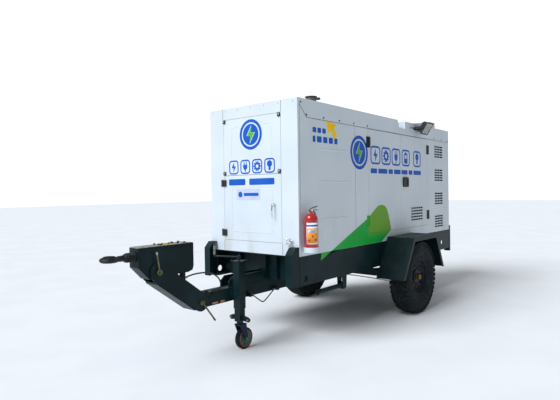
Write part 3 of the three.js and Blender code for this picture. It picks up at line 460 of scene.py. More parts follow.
# Stainless steel: cold-headed, so faintly ringed and softly bright.
stainless, tree, surface, place = coating("stainless_steel", metallic=1.0, roughness=0.32)
feed(tree, surface, Base_Color=tinted(tree, patches(tree, place, 0.01, 0.35, 0.7), "#b9bec2", "#8b9195"))
# Washer rubber: black, dull and slightly chalky from the sun.
rubber, tree, surface, place = coating("washer_rubber", roughness=0.8)
feed(tree, surface, Base_Color=tinted(tree, patches(tree, place, 0.012, 0.4, 0.7), "#191b1c", "#303334"))

for sign, side in ((1, "left"), (-1, "right")):
    places = [(0.05, 2.31)] + [(y, 2.2) for y in (0.14, 0.426, 0.711, 0.995, 1.288, 3.18, 3.44, 3.68)]
    grown(f"skirt_screws_{side}", points("places", [(sign * side_x, front_y + y, z) for y, z in places]),
          screw_row,
          "trailer", "zinc", head_radius=0.0068, head_height=0.0045, washer_radius=0.0105,
          facing=(sign, 0, 0),
          head_finish=nylon, washer_finish=rubber)
edge_places = [(-0.54 + 0.18 * i, front_y, roof_z - 0.028) for i in range(7)]
grown("front_edge_screws", points("places", edge_places), screw_row, "trailer", "zinc", head_radius=0.006,
      head_height=0.004, washer_radius=0.009, facing=(0, -1, 0), head_finish=stainless,
      washer_finish=powder_coat)
rear_places = [(-0.54 + 0.27 * i, rear_y, z) for i in range(5) for z in (0.91, 2.11)]
grown("rear_wall_screws", points("places", rear_places), screw_row, "trailer", "zinc", head_radius=0.006,
      head_height=0.004, washer_radius=0.009, facing=(0, 1, 0), head_finish=stainless,
      washer_finish=powder_coat)

# ---- Louvre hoods: half-round lips pressed out over every air slot, with a near-black sheet behind them as painted shade.

group = bpy.data.node_groups.new("louvre_hoods", "GeometryNodeTree")
group.interface.new_socket(name="Places", in_out="INPUT", socket_type="NodeSocketGeometry")
for label, value in (("Length", 0.28), ("Lip Radius", 0.008), ("Depth", 0.004)):
    group.interface.new_socket(name=label, in_out="INPUT",
                               socket_type="NodeSocketFloat").default_value = value
group.interface.new_socket(name="Run", in_out="INPUT", socket_type="NodeSocketVector").default_value = (0,
                                                                                                        1, 0)
group.interface.new_socket(name="Finish", in_out="INPUT", socket_type="NodeSocketMaterial")
group.interface.new_socket(name="Hoods", in_out="OUTPUT", socket_type="NodeSocketGeometry")
given = add(group, "NodeGroupInput").outputs
long = add(group, "ShaderNodeVectorMath", {0: given["Run"], "Scale": given["Length"]},
           operation="SCALE").outputs[0]
middle = add(group, "ShaderNodeVectorMath", {0: long, "Scale": -0.5}, operation="SCALE").outputs[0]
far = add(group, "ShaderNodeVectorMath", {0: long, "Scale": 0.5}, operation="SCALE").outputs[0]
line = add(group, "GeometryNodeCurvePrimitiveLine", {"Start": middle, "End": far})
lip = add(group, "GeometryNodeCurvePrimitiveCircle", {"Resolution": 10, "Radius": given["Lip Radius"]},
          mode="RADIUS")
swept = add(group, "GeometryNodeCurveToMesh", {"Curve": line.outputs[0], "Profile Curve": lip.outputs[0],
                                               "Fill Caps": True})
share = add(group, "ShaderNodeMath", {0: given["Depth"], 1: given["Lip Radius"]},
            operation="DIVIDE").outputs[0]
scale = add(group, "ShaderNodeCombineXYZ", {0: share, 1: 1.0, 2: 1.0})
squeezed = add(group, "GeometryNodeTransform", {"Geometry": swept.outputs[0], "Scale": scale.outputs[0]})
placed = add(group, "GeometryNodeInstanceOnPoints",
             {"Points": given["Places"], "Instance": squeezed.outputs[0]})
real = add(group, "GeometryNodeRealizeInstances", {0: placed.outputs[0]})
add(group, "NodeGroupOutput", {0: add(group, "GeometryNodeSetMaterial", {
    "Geometry": real.outputs[0], "Material": given["Finish"]}).outputs[0]})
louvre_hoods = group

# Painted shade: a near-black sheet with a woven grain, set behind the slots and in the wheels' hand holes so
# that the openings read dark.
opening_shade, tree, surface, place = coating("blackened_wire_mesh", metallic=0.6, roughness=0.55)
weave = add(tree, "ShaderNodeTexVoronoi", {"Vector": place, "Scale": 1 / 0.006})
feed(tree, surface, Base_Color=tinted(tree, weave.outputs["Distance"], "#0c0e0f", "#2b2f31"))
relief(tree, surface, (weave.outputs["Distance"], 0.001))


def slab(low, high):
    """A board between two corners, to be eased before it is shown."""
    mesh = bpy.data.meshes.new("slab")
    shape = bmesh.new()
    bmesh.ops.create_cube(shape, size=1)
    for vert in shape.verts:
        vert.co = Vector([min(a, b) if c < 0 else max(a, b) for c, a, b in zip(vert.co, low, high)])
    shape.to_mesh(mesh)
    shape.free()
    return mesh


for sign, side in ((1, "left"), (-1, "right")):
    for body, tag, y0, y1, firsts, pitch, depth, columns in (
            ("trailer", "wall", 3.195, 3.48, (0.935, 1.263, 1.598, 1.933), 0.036, 0.0303, 3),
            (f"door_rear_{side}", "door", 2.414, 2.762, (1.072,), 0.038, 0.0283, 6)):
        middle = front_y + (y0 + y1) / 2
        tops = [(sign * side_x, middle, z + pitch * i + 0.0225) for z in firsts for i in range(5)]
        grown(f"{tag}_louvres_{side}", points("places", tops), louvre_hoods, body, "canopy_paint",
              length=y1 - y0 + 0.012, lip_radius=0.0032, depth=0.0055, finish=powder_coat)
        for i, z in enumerate(firsts):
            high = z + 4 * pitch + 0.026
            posts = [(sign * (side_x - 0.003), front_y + y0 + (y1 - y0) * (k + 1) / columns, (z + high) / 2)
                     for k in range(columns - 1)]
            grown(f"{tag}_slot_posts_{side}_{i}", points("places", posts), louvre_hoods, body, "canopy_paint",
                  length=high - z + 0.004, lip_radius=0.0035, depth=0.003, run=(0, 0, 1), finish=powder_coat)
            edge = rounded_box(front_y + y0 - 0.016, front_y + y1 + 0.016, z - 0.016, high + 0.014, 0.012)
            bead(f"{tag}_slot_frame_{side}_{i}", [(sign * side_x, y, w) for y, w in edge], 0.0042,
                 (sign * 0.003, 0, 0), body, "canopy_paint", powder_coat, closed=True)
        for i, z in enumerate(firsts):
            # Behind each group of slots, a near-black sheet in the painted-shade finish.
            sheet = slab((sign * (side_x - depth), front_y + y0 - 0.01, z - 0.01),
                         (sign * (side_x - depth - 0.003), front_y + y1 + 0.01, z + 5 * pitch + 0.01))
            eased(piece(f"{tag}_mesh_{side}_{i}", sheet, body, "radiator_aluminium", opening_shade), 0.001)

# ---- Decals: cut vinyl film, 0.6 mm thick, laid on the canopy: a green sweep along each
# side, a ringed lightning bolt, plain pictograms of what the set supplies, and blue bars.


def film(name, outline, side, body, slot, finish, keeps=(), thick=0.0006, holes=()):
    """A film cut to an outline of (along, up) on a side of the canopy, trimmed to what it keeps."""
    shape = bmesh.new()
    edges = []
    for loop in (outline, *holes):
        verts = [shape.verts.new((u, v, 0)) for u, v in loop]
        edges += [shape.edges.new((verts[i - 1], verts[i])) for i in range(len(verts))]
    bmesh.ops.triangle_fill(shape, edges=edges, use_beauty=True, normal=(0, 0, 1))
    for point, outwards in keeps:
        bmesh.ops.bisect_plane(shape, geom=shape.verts[:] + shape.edges[:] + shape.faces[:],
                               plane_co=(*point, 0), plane_no=(*outwards, 0), clear_outer=True)
    bmesh.ops.recalc_face_normals(shape, faces=shape.faces)
    if shape.faces[0].normal.z < 0:
        bmesh.ops.reverse_faces(shape, faces=shape.faces)
    grown_up = bmesh.ops.extrude_face_region(shape, geom=shape.faces[:])
    for vert in (part for part in grown_up["geom"] if isinstance(part, bmesh.types.BMVert)):
        vert.co.z += thick
    stand = {"front": lambda u, v, w: (u, front_y - w, v),
             "left": lambda u, v, w: (side_x + w, front_y + u, v),
             "right": lambda u, v, w: (-side_x - w, front_y + u, v)}[side]
    for vert in shape.verts:
        vert.co = stand(*vert.co)
    bmesh.ops.recalc_face_normals(shape, faces=shape.faces)
    mesh = bpy.data.meshes.new(name)
    shape.to_mesh(mesh)
    shape.free()
    return piece(name, mesh, body, slot, finish)


def ring(u, v, radius, squash=1.0, steps=40):
    return [(u + radius * math.cos(2 * math.pi * i / steps),
             v + radius * squash * math.sin(2 * math.pi * i / steps))
            for i in range(steps)]


def moved(points, u, v, size, mirror=1):
    return [(u + mirror * a * size, v + b * size) for a, b in points]


# Gloss vinyl: even colour with faint rub marks, edges flat on the paint.
blue_vinyl, tree, surface, place = coating("gloss_blue_vinyl", roughness=0.45, specular_ior_level=0.25)
feed(tree, surface, Base_Color=tinted(tree, patches(tree, place, 0.15, 0.35, 0.75), "#0a52b4", "#1560bd"))
yellow_vinyl, tree, surface, place = coating("gloss_yellow_vinyl", roughness=0.45, specular_ior_level=0.25)
feed(tree, surface, Base_Color=tinted(tree, patches(tree, place, 0.08, 0.35, 0.75), "#ffd00c", "#f8c208"))
white_vinyl, tree, surface, place = coating("gloss_white_vinyl", roughness=0.45, specular_ior_level=0.25)
feed(tree, surface, Base_Color=tinted(tree, patches(tree, place, 0.08, 0.35, 0.75), "#f2f4f5", "#dfe4e8"))
# Pale blue vinyl: the ground of the plate on the front door.
pale_vinyl, tree, surface, place = coating("gloss_pale_vinyl", roughness=0.45, specular_ior_level=0.25)
feed(tree, surface, Base_Color=tinted(tree, patches(tree, place, 0.08, 0.35, 0.75), "#c3cbea", "#b9c2e4"))
bolt_green, tree, surface, place = coating("gloss_green_vinyl", roughness=0.45, specular_ior_level=0.25)
feed(tree, surface, Base_Color=tinted(tree, patches(tree, place, 0.08, 0.35, 0.75), "#4fab26", "#5cb52f"))

bolt = [(0.10, 1.0), (-0.62, -0.12), (-0.08, -0.12), (-0.14, -1.0), (0.62, 0.2), (0.08, 0.2)]
badge_sides = (("front", 0.0, 2.053, 0.152, "panel_front"), ("left", 1.105, 1.893, 0.186, "trailer"),
               ("right", 1.105, 1.893, 0.186, "trailer"))
for side, u, v, size, body in badge_sides:
    film(f"badge_ring_{side}", ring(u, v, size), side, body, "canopy_paint", blue_vinyl,
         holes=[ring(u, v, size * 0.80)])
    film(f"badge_inner_{side}", ring(u, v, size * 0.70), side, body, "canopy_paint", blue_vinyl,
         holes=[moved(bolt, u, v, size * 0.62)])
    film(f"badge_bolt_{side}", moved(bolt, u, v, size * 0.52), side, body, "canopy_paint", bolt_green)

plug = [(-0.55, -0.15), (-0.55, 0.42), (-0.38, 0.42), (-0.38, 1.0), (-0.18, 1.0), (-0.18, 0.42), (0.18, 0.42),
        (0.18, 1.0), (0.38, 1.0), (0.38, 0.42), (0.55, 0.42), (0.55, -0.15), (0.36, -0.5), (0.12, -0.6),
        (0.12, -1.0), (-0.12, -1.0), (-0.12, -0.6), (-0.36, -0.5)]
battery = [(-0.62, -0.9), (0.62, -0.9), (0.62, 0.7), (0.3, 0.7), (0.3, 0.95), (-0.3, 0.95), (-0.3, 0.7),
           (-0.62, 0.7)]
lamp_sign = [(-0.26, -0.85), (0.26, -0.85), (0.26, -0.22)] + [
    (0.62 * math.cos(math.radians(t)), 0.34 + 0.62 * math.sin(math.radians(t))) for t in range(-54, 235,
                                                                                               12)] + [
    (-0.26, -0.22)]
cog = [(r * math.cos(math.radians(t)), r * math.sin(math.radians(t))) for k in range(10) for t, r in (
    (36 * k - 12, 0.74), (36 * k - 7, 0.98), (36 * k + 7, 0.98), (36 * k + 12, 0.74))]
signs = {"bolt": (bolt, []), "plug": (plug, []), "lamp": (lamp_sign, []),
         "cog": (cog, [ring(0, 0, 0.34, steps=24)]),
         "battery": (battery, [[(-0.4, -0.1), (0.4, -0.1), (0.4, 0.48), (-0.4, 0.48)]])}


def sign(name, kind, u, v, size, side, body, mirror=1, finish=None):
    outline, openings = signs[kind]
    film(name, moved(outline, u, v, size, mirror), side, body, "canopy_paint", finish or blue_vinyl,
         holes=[moved(hole, u, v, size, mirror) for hole in openings])


def framed(name, kind, u, v, half_width, half_height, size, side, body, mirror=1):
    """A sign inside a rounded frame of its own."""
    rim = half_height * 0.2
    film(f"{name}_frame",
         rounded_box(u - half_width, u + half_width, v - half_height, v + half_height, 2.6 * rim),
         side, body, "canopy_paint", blue_vinyl,
         holes=[rounded_box(u - half_width + rim, u + half_width - rim, v - half_height + rim,
                            v + half_height - rim,
                            1.6 * rim)])
    sign(name, kind, u, v, size, side, body, mirror)


for i, kind in enumerate(("bolt", "plug", "cog", "lamp")):
    framed(f"front_sign_{kind}", kind, -0.244 + 0.163 * i, 1.733, 0.068, 0.072, 0.0525, "front",
           "panel_front")


def bars(name, u0, u1, v0, v1, widths, side, body, gap=0.35):
    """A row of blue bars between u0 and u1, their lengths in proportion to widths."""
    share = (u1 - u0) / (sum(widths) + gap * (len(widths) - 1))
    u = u0
    for i, width in enumerate(widths):
        film(f"{name}_{i}", rounded_box(u, u + width * share, v0, v1, (v1 - v0) * 0.2), side, body,
             "canopy_paint",
             blue_vinyl)
        u += (width + gap) * share


bars("front_bars", -0.318, 0.304, 1.548, 1.612, (2.2, 3.1), "front", "door_front", 0.5)
film("front_plate", rounded_box(-0.207, 0.116, 1.396, 1.511, 0.008), "front", "door_front", "canopy_paint",
     pale_vinyl)
film("front_plate_dot", ring(-0.155, 1.4535, 0.03, steps=24), "front", "door_front", "canopy_paint",
     blue_vinyl,
     thick=0.001)
film("front_plate_bar", rounded_box(-0.105, 0.095, 1.438, 1.469, 0.005), "front", "door_front",
     "canopy_paint",
     blue_vinyl, thick=0.001)

arrow = [(0.0, 2.188), (0.045, 2.045), (0.085, 2.085), (0.145, 2.0), (0.205, 2.035), (0.15, 2.115),
         (0.205, 2.145)]
sweep = [(0.346, 0.794), (0.464, 0.842), (0.88, 1.008), (1.293, 1.168), (1.41, 1.238), (1.52, 1.299),
         (1.607, 1.305),
         (1.686, 1.29), (1.743, 1.24), (1.774, 1.178), (1.81, 1.09), (1.838, 1.001), (1.818, 0.985),
         (1.597, 0.872),
         (1.5, 0.8705), (0.7, 0.8705), (0.36, 0.8705)]
door_y0, door_y1, door_z0 = 1.301, 2.118, 0.988
for side in ("left", "right"):
    mirrored = -1 if side == "right" else 1
    kinds = ("bolt", "cog", "plug", "battery", "lamp")
    for i, (kind, u) in enumerate(zip(kinds, (1.468, 1.728, 1.988, 2.262, 2.60))):
        body = f"door_front_{side}" if u < 2.12 else f"door_rear_{side}"
        framed(f"side_sign_{kind}_{side}", kind, u, 1.882, 0.116, 0.106, 0.077, side, body, mirrored)
    bars(f"small_bars_front_{side}", 1.352, 2.108, 1.672, 1.728, (1.6, 2.4, 1.2, 1.9), side,
         f"door_front_{side}")
    bars(f"small_bars_rear_{side}", 2.135, 2.722, 1.672, 1.728, (1.7, 1.1, 2.3), side, f"door_rear_{side}")
    bars(f"upper_bars_{side}", 0.237, 0.46, 2.045, 2.095, (1.0, 1.0, 1.0), side, "trailer")
    bars(f"lower_bars_{side}", 0.237, 0.67, 1.952, 2.012, (0.6, 1.1, 1.0, 1.0, 0.8), side, "trailer")
    tip = 0.459 if side == "left" else 0.663
    film(f"arrow_{side}", [(tip + mirrored * u, v) for u, v in arrow], side, "trailer", "canopy_paint",
         yellow_vinyl)
    parts = {
        "sweep_wall": ("trailer", [((1.2995, 0), (1, 0))]),
        "sweep_sill": ("trailer", [((1.2995, 0), (-1, 0)), ((0, 0.9845), (0, 1))]),
        "sweep_door": (f"door_front_{side}",
                       [((door_y0, 0), (-1, 0)), ((0, door_z0), (0, -1)), ((door_y1, 0), (1, 0))]),
    }
    for part, (body, keeps) in parts.items():
        film(f"{part}_{side}", sweep, side, body, "canopy_paint", sweep_vinyl, keeps)

# ---- Chassis: the skid base, drawbar, arm, coupling head, jack and mudguards are welded from plate
# and box section, then sprayed in one blue-black enamel.

# Synthetic enamel: satin blue-black with spray texture, dust lying on level faces and light scuffs.
enamel, tree, surface, place = coating("synthetic_enamel", roughness=0.4, specular_ior_level=0.13)
dusty = product(tree, lying(tree), patches(tree, place, 0.12, 0.2, 0.75, 6))
scuffed = patches(tree, place, 0.02, 0.66, 0.8, 8, (0.35, 1, 1))
base = tinted(tree, patches(tree, place, 0.3, 0.35, 0.7), "#0b1f22", "#122a2e")
splashed = product(tree, patches(tree, place, 0.05, 0.45, 0.8, 6), above(tree, place, "Z", 0.75, 0.3))
muddy = tinted(tree, product(tree, splashed, splashed), base, "#28302f")
marked = tinted(tree, product(tree, scuffed, patches(tree, place, 0.4, 0.5, 0.7)), muddy, "#2b3a3d")
feed(tree, surface, Base_Color=tinted(tree, product(tree, dusty, dusty), marked, "#5f6665"),
     Roughness=add(tree, "ShaderNodeMapRange", {"Value": dusty, "To Min": 0.38, "To Max": 0.75}).outputs[0])
relief(tree, surface, (patches(tree, place, 0.2, 0.2, 0.8, 2), 0.0015),
       (patches(tree, place, 0.004, 0.3, 0.7, 2), 0.00015))

# Planes through the jack's square socket and the tube's cut-outs, where their flat faces are parted.
cut_planes = {"jack_outer": ((0, 0.125), (1, -1.38)), "drawbar_tube": ((1, -1.412), (1, -1.6), (1, -1.8))}
for node, width in (("skid_base", 0.003), ("drawbar_tube", 0.004), ("drawbar_arm", 0.0025),
                    ("head_box", 0.003),
                    ("axle_beam", 0.003), ("jack_outer", 0.003), ("jack_inner", 0.004),
                    ("leaf_spring_left", 0.002),
                    ("leaf_spring_right", 0.002), ("mudguard_left", 0.002), ("mudguard_right", 0.002),
                    ("prop_stand_left", 0.002), ("prop_stand_right", 0.002)):
    refined(node, width, "chassis_paint", enamel, cuts=cut_planes.get(node, ()))

# ---- Welds: a rippled fillet runs where the corner posts, gussets and brackets meet the beams.

group = bpy.data.node_groups.new("weld_run", "GeometryNodeTree")
group.interface.new_socket(name="Path", in_out="INPUT", socket_type="NodeSocketGeometry")
for label, value in (("Throat", 0.005), ("Ripple Spacing", 0.005)):
    group.interface.new_socket(name=label, in_out="INPUT",
                               socket_type="NodeSocketFloat").default_value = value
group.interface.new_socket(name="Finish", in_out="INPUT", socket_type="NodeSocketMaterial")
group.interface.new_socket(name="Welds", in_out="OUTPUT", socket_type="NodeSocketGeometry")
given = add(group, "NodeGroupInput").outputs
path = add(group, "GeometryNodeMeshToCurve", {0: given["Path"]})
drops = add(group, "GeometryNodeResampleCurve", {"Curve": path.outputs[0], "Length": given["Ripple Spacing"]},
            mode="LENGTH")
ripple = add(group, "GeometryNodeMeshIcoSphere", {"Radius": given["Throat"], "Subdivisions": 1})
placed = add(group, "GeometryNodeInstanceOnPoints",
             {"Points": drops.outputs[0], "Instance": ripple.outputs[0]})
real = add(group, "GeometryNodeRealizeInstances", {0: placed.outputs[0]})
smooth = add(group, "GeometryNodeSetShadeSmooth", {0: real.outputs[0]})
add(group, "NodeGroupOutput", {0: add(group, "GeometryNodeSetMaterial", {
    "Geometry": smooth.outputs[0], "Material": given["Finish"]}).outputs[0]})
weld_run = group


def paths(name, *lines):
    """A mesh of edges through each list of points, for a tree to follow."""
    verts, edges = [], []
    for line in lines:
        edges += [(len(verts) + i, len(verts) + i + 1) for i in range(len(line) - 1)]
        verts += [tuple(p) for p in line]
    mesh = bpy.data.meshes.new(name)
    mesh.from_pydata(verts, edges, [])
    return mesh


post_y, beam_y = front_y - 0.0003, front_y + 0.165
runs = []
for sign in (1, -1):
    outer = sign * (side_x + 0.001)
    inner = sign * (side_x - 0.078)
    runs += [[(outer, post_y + 0.0006, 0.60), (outer, post_y + 0.0006, 0.86)],
             [(inner, post_y, 0.62), (inner, post_y, 0.95)],
             [(sign * (side_x - 0.01), beam_y, 0.61), (sign * (side_x - 0.01), beam_y, 0.86)],
             [(sign * 0.0605, front_y + 0.1645, 0.60), (sign * 0.0605, front_y + 0.1645, 0.68)],
             [(sign * 0.0605, front_y - 0.39, 0.5855), (sign * 0.0605, front_y + 0.16, 0.5855)]]
grown("base_welds", paths("runs", *runs), weld_run, "trailer", "chassis_paint", throat=0.0045,
      ripple_spacing=0.005,
      finish=enamel)

# ---- Road wheels: a ten-stud pressed disc in a heavy tubeless tyre on each end of the axle.
# The tyre is carcass, shoulder lugs and centre blocks; the hub cap and nuts are bronze-plated.

wheel_nodes = {side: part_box(f"tyre_{side}") for side in ("left", "right")}
tyre_radius = (wheel_nodes["left"][1].z - wheel_nodes["left"][0].z) / 2
axle = Vector((0, (wheel_nodes["left"][0].y + wheel_nodes["left"][1].y) / 2, tyre_radius))
wheel_x = (wheel_nodes["left"][0].x + wheel_nodes["left"][1].x) / 2


def lathe(name, profile, centre, axis="x", sides=96):
    """A turned mesh: a closed profile of (radius, distance along the axis) swept round a centre."""
    shape = bmesh.new()
    rings = []
    for radius, reach in profile:
        count = sides if radius > 1e-6 else 1
        ring = []
        for i in range(count):
            angle = 2 * math.pi * i / sides
            u, v = radius * math.cos(angle), radius * math.sin(angle)
            offset = {"x": (reach, u, v), "y": (u, reach, v), "z": (u, v, reach)}[axis]
            ring.append(shape.verts.new(Vector(centre) + Vector(offset)))
        rings.append(ring)
    for first, second in zip(rings, rings[1:]):
        for i in range(sides):
            j = (i + 1) % sides
            corners = [first[i % len(first)], first[j % len(first)], second[j % len(second)],
                       second[i % len(second)]]
            corners = [c for k, c in enumerate(corners) if c not in corners[:k]]
            if len(corners) > 2:
                shape.faces.new(corners)
    bmesh.ops.remove_doubles(shape, verts=shape.verts, dist=1e-6)
    bmesh.ops.recalc_face_normals(shape, faces=shape.faces)
    mesh = bpy.data.meshes.new(name)
    shape.to_mesh(mesh)
    shape.free()
    return mesh


def standing(name, mesh, node, slot, finish, width=0.0015, angle=32):
    """A rebuilt mesh that stands for a CAD node and rides where that node rides."""
    obj = piece(name, mesh, frame["nodes"][node]["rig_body"], slot, finish)
    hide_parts(node)
    return eased(obj, width, 2, angle)


# Tyre rubber: dark, dull, fine-grained, bloomed grey-brown with dust where it isn't worn.
tyre_rubber, tree, surface, place = coating("vulcanised_rubber", roughness=0.75, specular_ior_level=0.2)
worn = tinted(tree, patches(tree, place, 0.06, 0.35, 0.7, 6), "#0d1618", "#192326")
feed(tree, surface, Base_Color=tinted(tree, patches(tree, place, 0.12, 0.55, 0.85, 7), worn, "#2f3433"))
relief(tree, surface, (patches(tree, place, 0.003, 0.3, 0.7, 3), 0.0004))

# Disc enamel: the chassis colour gone greyer and rust-speckled with brake heat and dust.
disc_enamel, tree, surface, place = coating("disc_enamel", roughness=0.5, specular_ior_level=0.2)
sooty = tinted(tree, patches(tree, place, 0.08, 0.35, 0.7, 5), "#101a26", "#182431")
feed(tree, surface, Base_Color=tinted(tree, patches(tree, place, 0.03, 0.6, 0.8, 7), sooty, "#3a3733"))
relief(tree, surface, (patches(tree, place, 0.006, 0.3, 0.7, 3), 0.0003))

# Passivated zinc plating: a yellow-bronze chromate film, patchier and duller in the recesses.
bronze, tree, surface, place = coating("yellow_chromate_plating", metallic=1.0, roughness=0.4)
feed(tree, surface, Base_Color=tinted(tree, patches(tree, place, 0.015, 0.3, 0.7, 4), "#8f7a44", "#54492c"))
relief(tree, surface, (patches(tree, place, 0.003, 0.3, 0.7, 2), 0.0002))

group = bpy.data.node_groups.new("round_ring", "GeometryNodeTree")
group.interface.new_socket(name="Part", in_out="INPUT", socket_type="NodeSocketGeometry")
group.interface.new_socket(name="Count", in_out="INPUT", socket_type="NodeSocketInt").default_value = 10
group.interface.new_socket(name="Centre", in_out="INPUT", socket_type="NodeSocketVector")
group.interface.new_socket(name="Axis", in_out="INPUT", socket_type="NodeSocketVector")
group.interface.new_socket(name="Part Turn", in_out="INPUT", socket_type="NodeSocketFloat")
group.interface.new_socket(name="Finish", in_out="INPUT", socket_type="NodeSocketMaterial")
group.interface.new_socket(name="Ring", in_out="OUTPUT", socket_type="NodeSocketGeometry")
given = add(group, "NodeGroupInput").outputs
spots = add(group, "GeometryNodeMeshLine", {"Count": given["Count"], "Start Location": given["Centre"],
                                            "Offset": (0, 0, 0)})
step = add(group, "ShaderNodeMath", {0: 2 * math.pi, 1: given["Count"]}, operation="DIVIDE").outputs[0]
number = add(group, "GeometryNodeInputIndex").outputs[0]
angle = add(group, "ShaderNodeMath", {0: number, 1: step, 2: given["Part Turn"]},
            operation="MULTIPLY_ADD").outputs[0]
turn = add(group, "FunctionNodeAxisAngleToRotation", {"Axis": given["Axis"], "Angle": angle}).outputs[0]
placed = add(group, "GeometryNodeInstanceOnPoints", {"Points": spots.outputs[0], "Instance": given["Part"],
                                                     "Rotation": turn})
real = add(group, "GeometryNodeRealizeInstances", {0: placed.outputs[0]})
add(group, "NodeGroupOutput", {0: add(group, "GeometryNodeSetMaterial", {
    "Geometry": real.outputs[0], "Material": given["Finish"]}).outputs[0]})
round_ring = group


def wedge(name, corners, thickness):
    """A lug: a plan outline of (across, along) at its foot, drawn in over its thickness."""
    shape = bmesh.new()
    foot = [shape.verts.new((across, along, 0)) for across, along in corners]
    middle = Vector((sum(c[0] for c in corners), sum(c[1] for c in corners), 0)) / len(corners)
    crown = [shape.verts.new((vert.co - middle) * 0.9 + middle + Vector((0, 0, thickness))) for vert in foot]
    shape.faces.new(foot[::-1])
    shape.faces.new(crown)
    for i in range(len(foot)):
        j = (i + 1) % len(foot)
        shape.faces.new((foot[i], foot[j], crown[j], crown[i]))
    mesh = bpy.data.meshes.new(name)
    shape.to_mesh(mesh)
    shape.free()
    return mesh


tread = 0.007                                  # depth of the grooves
carcass = tyre_radius - tread
for sign, side in ((1, "left"), (-1, "right")):
    hub = Vector((sign * wheel_x, axle.y, axle.z))
    body = f"road_wheel_{side}"
    profile = [(0.216, -0.088), (0.232, -0.092), (0.24, -0.099), (0.246, -0.1), (0.252, -0.096),
               (0.27, -0.104),
               (0.30, -0.1125), (0.304, -0.1139), (0.315, -0.1139), (0.319, -0.112), (0.345, -0.1105),
               (0.35, -0.1125), (0.357, -0.1125), (0.361, -0.109), (0.385, -0.1), (0.402, -0.091),
               (0.413, -0.078),
               (carcass - 0.001, -0.058), (carcass, -0.03)]
    profile += [(radius, -reach) for radius, reach in profile[::-1]]
    standing(f"tyre_carcass_{side}", lathe("carcass", profile + profile[:1], hub), f"tyre_{side}",
             "tyre_rubber",
             tyre_rubber, 0.0005, 60)
    for row, (across, width, count, length, skew) in enumerate((
            (-0.0835, 0.038, 46, 0.047, 0.008), (-0.04, 0.032, 46, 0.050, 0.012),
                                                                (0.0, 0.032, 46, 0.050, -0.012),
            (0.04, 0.032, 46, 0.050, 0.012), (0.0835, 0.038, 46, 0.047, -0.008))):
        shoulder = abs(across) > 0.06
        height = carcass - (0.022 if shoulder else 0.003)
        block = wedge("lug", [(across - width / 2, -length / 2 - skew / 2),
                              (across + width / 2, -length / 2 + skew / 2),
                              (across + width / 2, length / 2 + skew / 2),
                              (across - width / 2, length / 2 - skew / 2)],
                      tread + 0.002 if not shoulder else tread + 0.0135)
        if shoulder:
            lean = Matrix.Rotation(math.copysign(math.radians(24), across), 4, "Y")
            block.transform(Matrix.Translation((across, 0, 0)) @ lean @ Matrix.Translation((-across, 0, 0)))
        block.transform(Matrix.Translation((0, 0, height)))
        ring = grown(f"tread_{side}_{row}", block, round_ring, body, "tyre_rubber", count=count,
                     centre=tuple(hub),
                     axis=(1, 0, 0), part_turn=math.pi / count * (row % 2), finish=tyre_rubber)
        eased(ring, 0.0012, 1)

    face = sign
    disc = [(0.0, 0.06), (0.04, 0.058), (0.044, 0.05), (0.082, 0.046), (0.088, 0.026), (0.10, 0.022),
            (0.146, 0.021),
            (0.158, 0.026), (0.19, 0.052), (0.197, 0.06), (0.200, 0.078), (0.212, 0.084), (0.2145, 0.0875),
            (0.2145, 0.08), (0.2145, -0.0875), (0.211, -0.0875), (0.204, -0.082), (0.198, -0.06),
            (0.192, 0.02),
            (0.15, 0.006), (0.08, -0.01), (0.06, -0.028), (0.0, -0.028)]
    disc = [(radius, face * reach) for radius, reach in disc]
    standing(f"disc_wheel_{side}", lathe("disc", disc, hub), f"wheel_{side}", "chassis_paint", disc_enamel,
             0.001, 50)
    cap = [(0.0, 0.094), (0.022, 0.092), (0.033, 0.086), (0.037, 0.076), (0.038, 0.06), (0.043, 0.058),
           (0.043, 0.05),
           (0.0, 0.05)]
    eased(piece(f"hub_cap_{side}", lathe("cap", [(r, face * u) for r, u in cap], hub, sides=48), body,
                "zinc", bronze), 0.001)
    nut = lathe("nut",
                [(0.0, 0.0), (0.0135, 0.0), (0.0135, 0.014), (0.011, 0.017), (0.007, 0.018), (0.007, 0.026),
                        (0.0, 0.027)], (0, 0, 0), sides=6)
    nut.transform(Matrix.Translation((face * 0.0205, 0, 0.1225)) @ Matrix.Scale(face, 4, (1, 0, 0)))
    if face < 0:
        nut.flip_normals()
    ring = grown(f"wheel_nuts_{side}", nut, round_ring, body, "zinc", count=10, centre=tuple(hub),
                 axis=(1, 0, 0),
                 part_turn=0.0, finish=bronze)
    eased(ring, 0.0008)
    # Hand holes: thin near-black discs on the disc face, painted shade where the openings would show dark.
    hole = lathe("hole", [(0.0, 0.0), (0.0175, 0.0), (0.0175, 0.002), (0.0, 0.002)], (0, 0, 0), sides=20)
    hole.transform(Matrix.Translation((face * 0.038, 0, 0.173)) @ Matrix.Rotation(face * math.radians(-40),
                                                                                  4, "Y")
                   @ Matrix.Translation((-0.001, 0, 0)))
    grown(f"hand_holes_{side}", hole, round_ring, body, "chassis_paint", count=10, centre=tuple(hub),
          axis=(1, 0, 0),
          part_turn=math.pi / 10, finish=opening_shade)
    valve = bead(f"tyre_valve_{side}", [hub + Vector((face * reach, 0, 0.193 - drop)) for reach, drop in
                                        ((0.045, 0.0), (0.06, 0.004), (0.078, 0.012))], 0.004, (0, 0, 0),
                 body,
                 "zinc", bronze)

# ---- Coupling head: a pale galvanised lid with a caution label and hexagon bolts lies on the box;
# the forged tow eye slides in and out of its nose, through a rubber boot.

head_low, head_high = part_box("head_box")
lid_low, lid_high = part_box("head_cover")

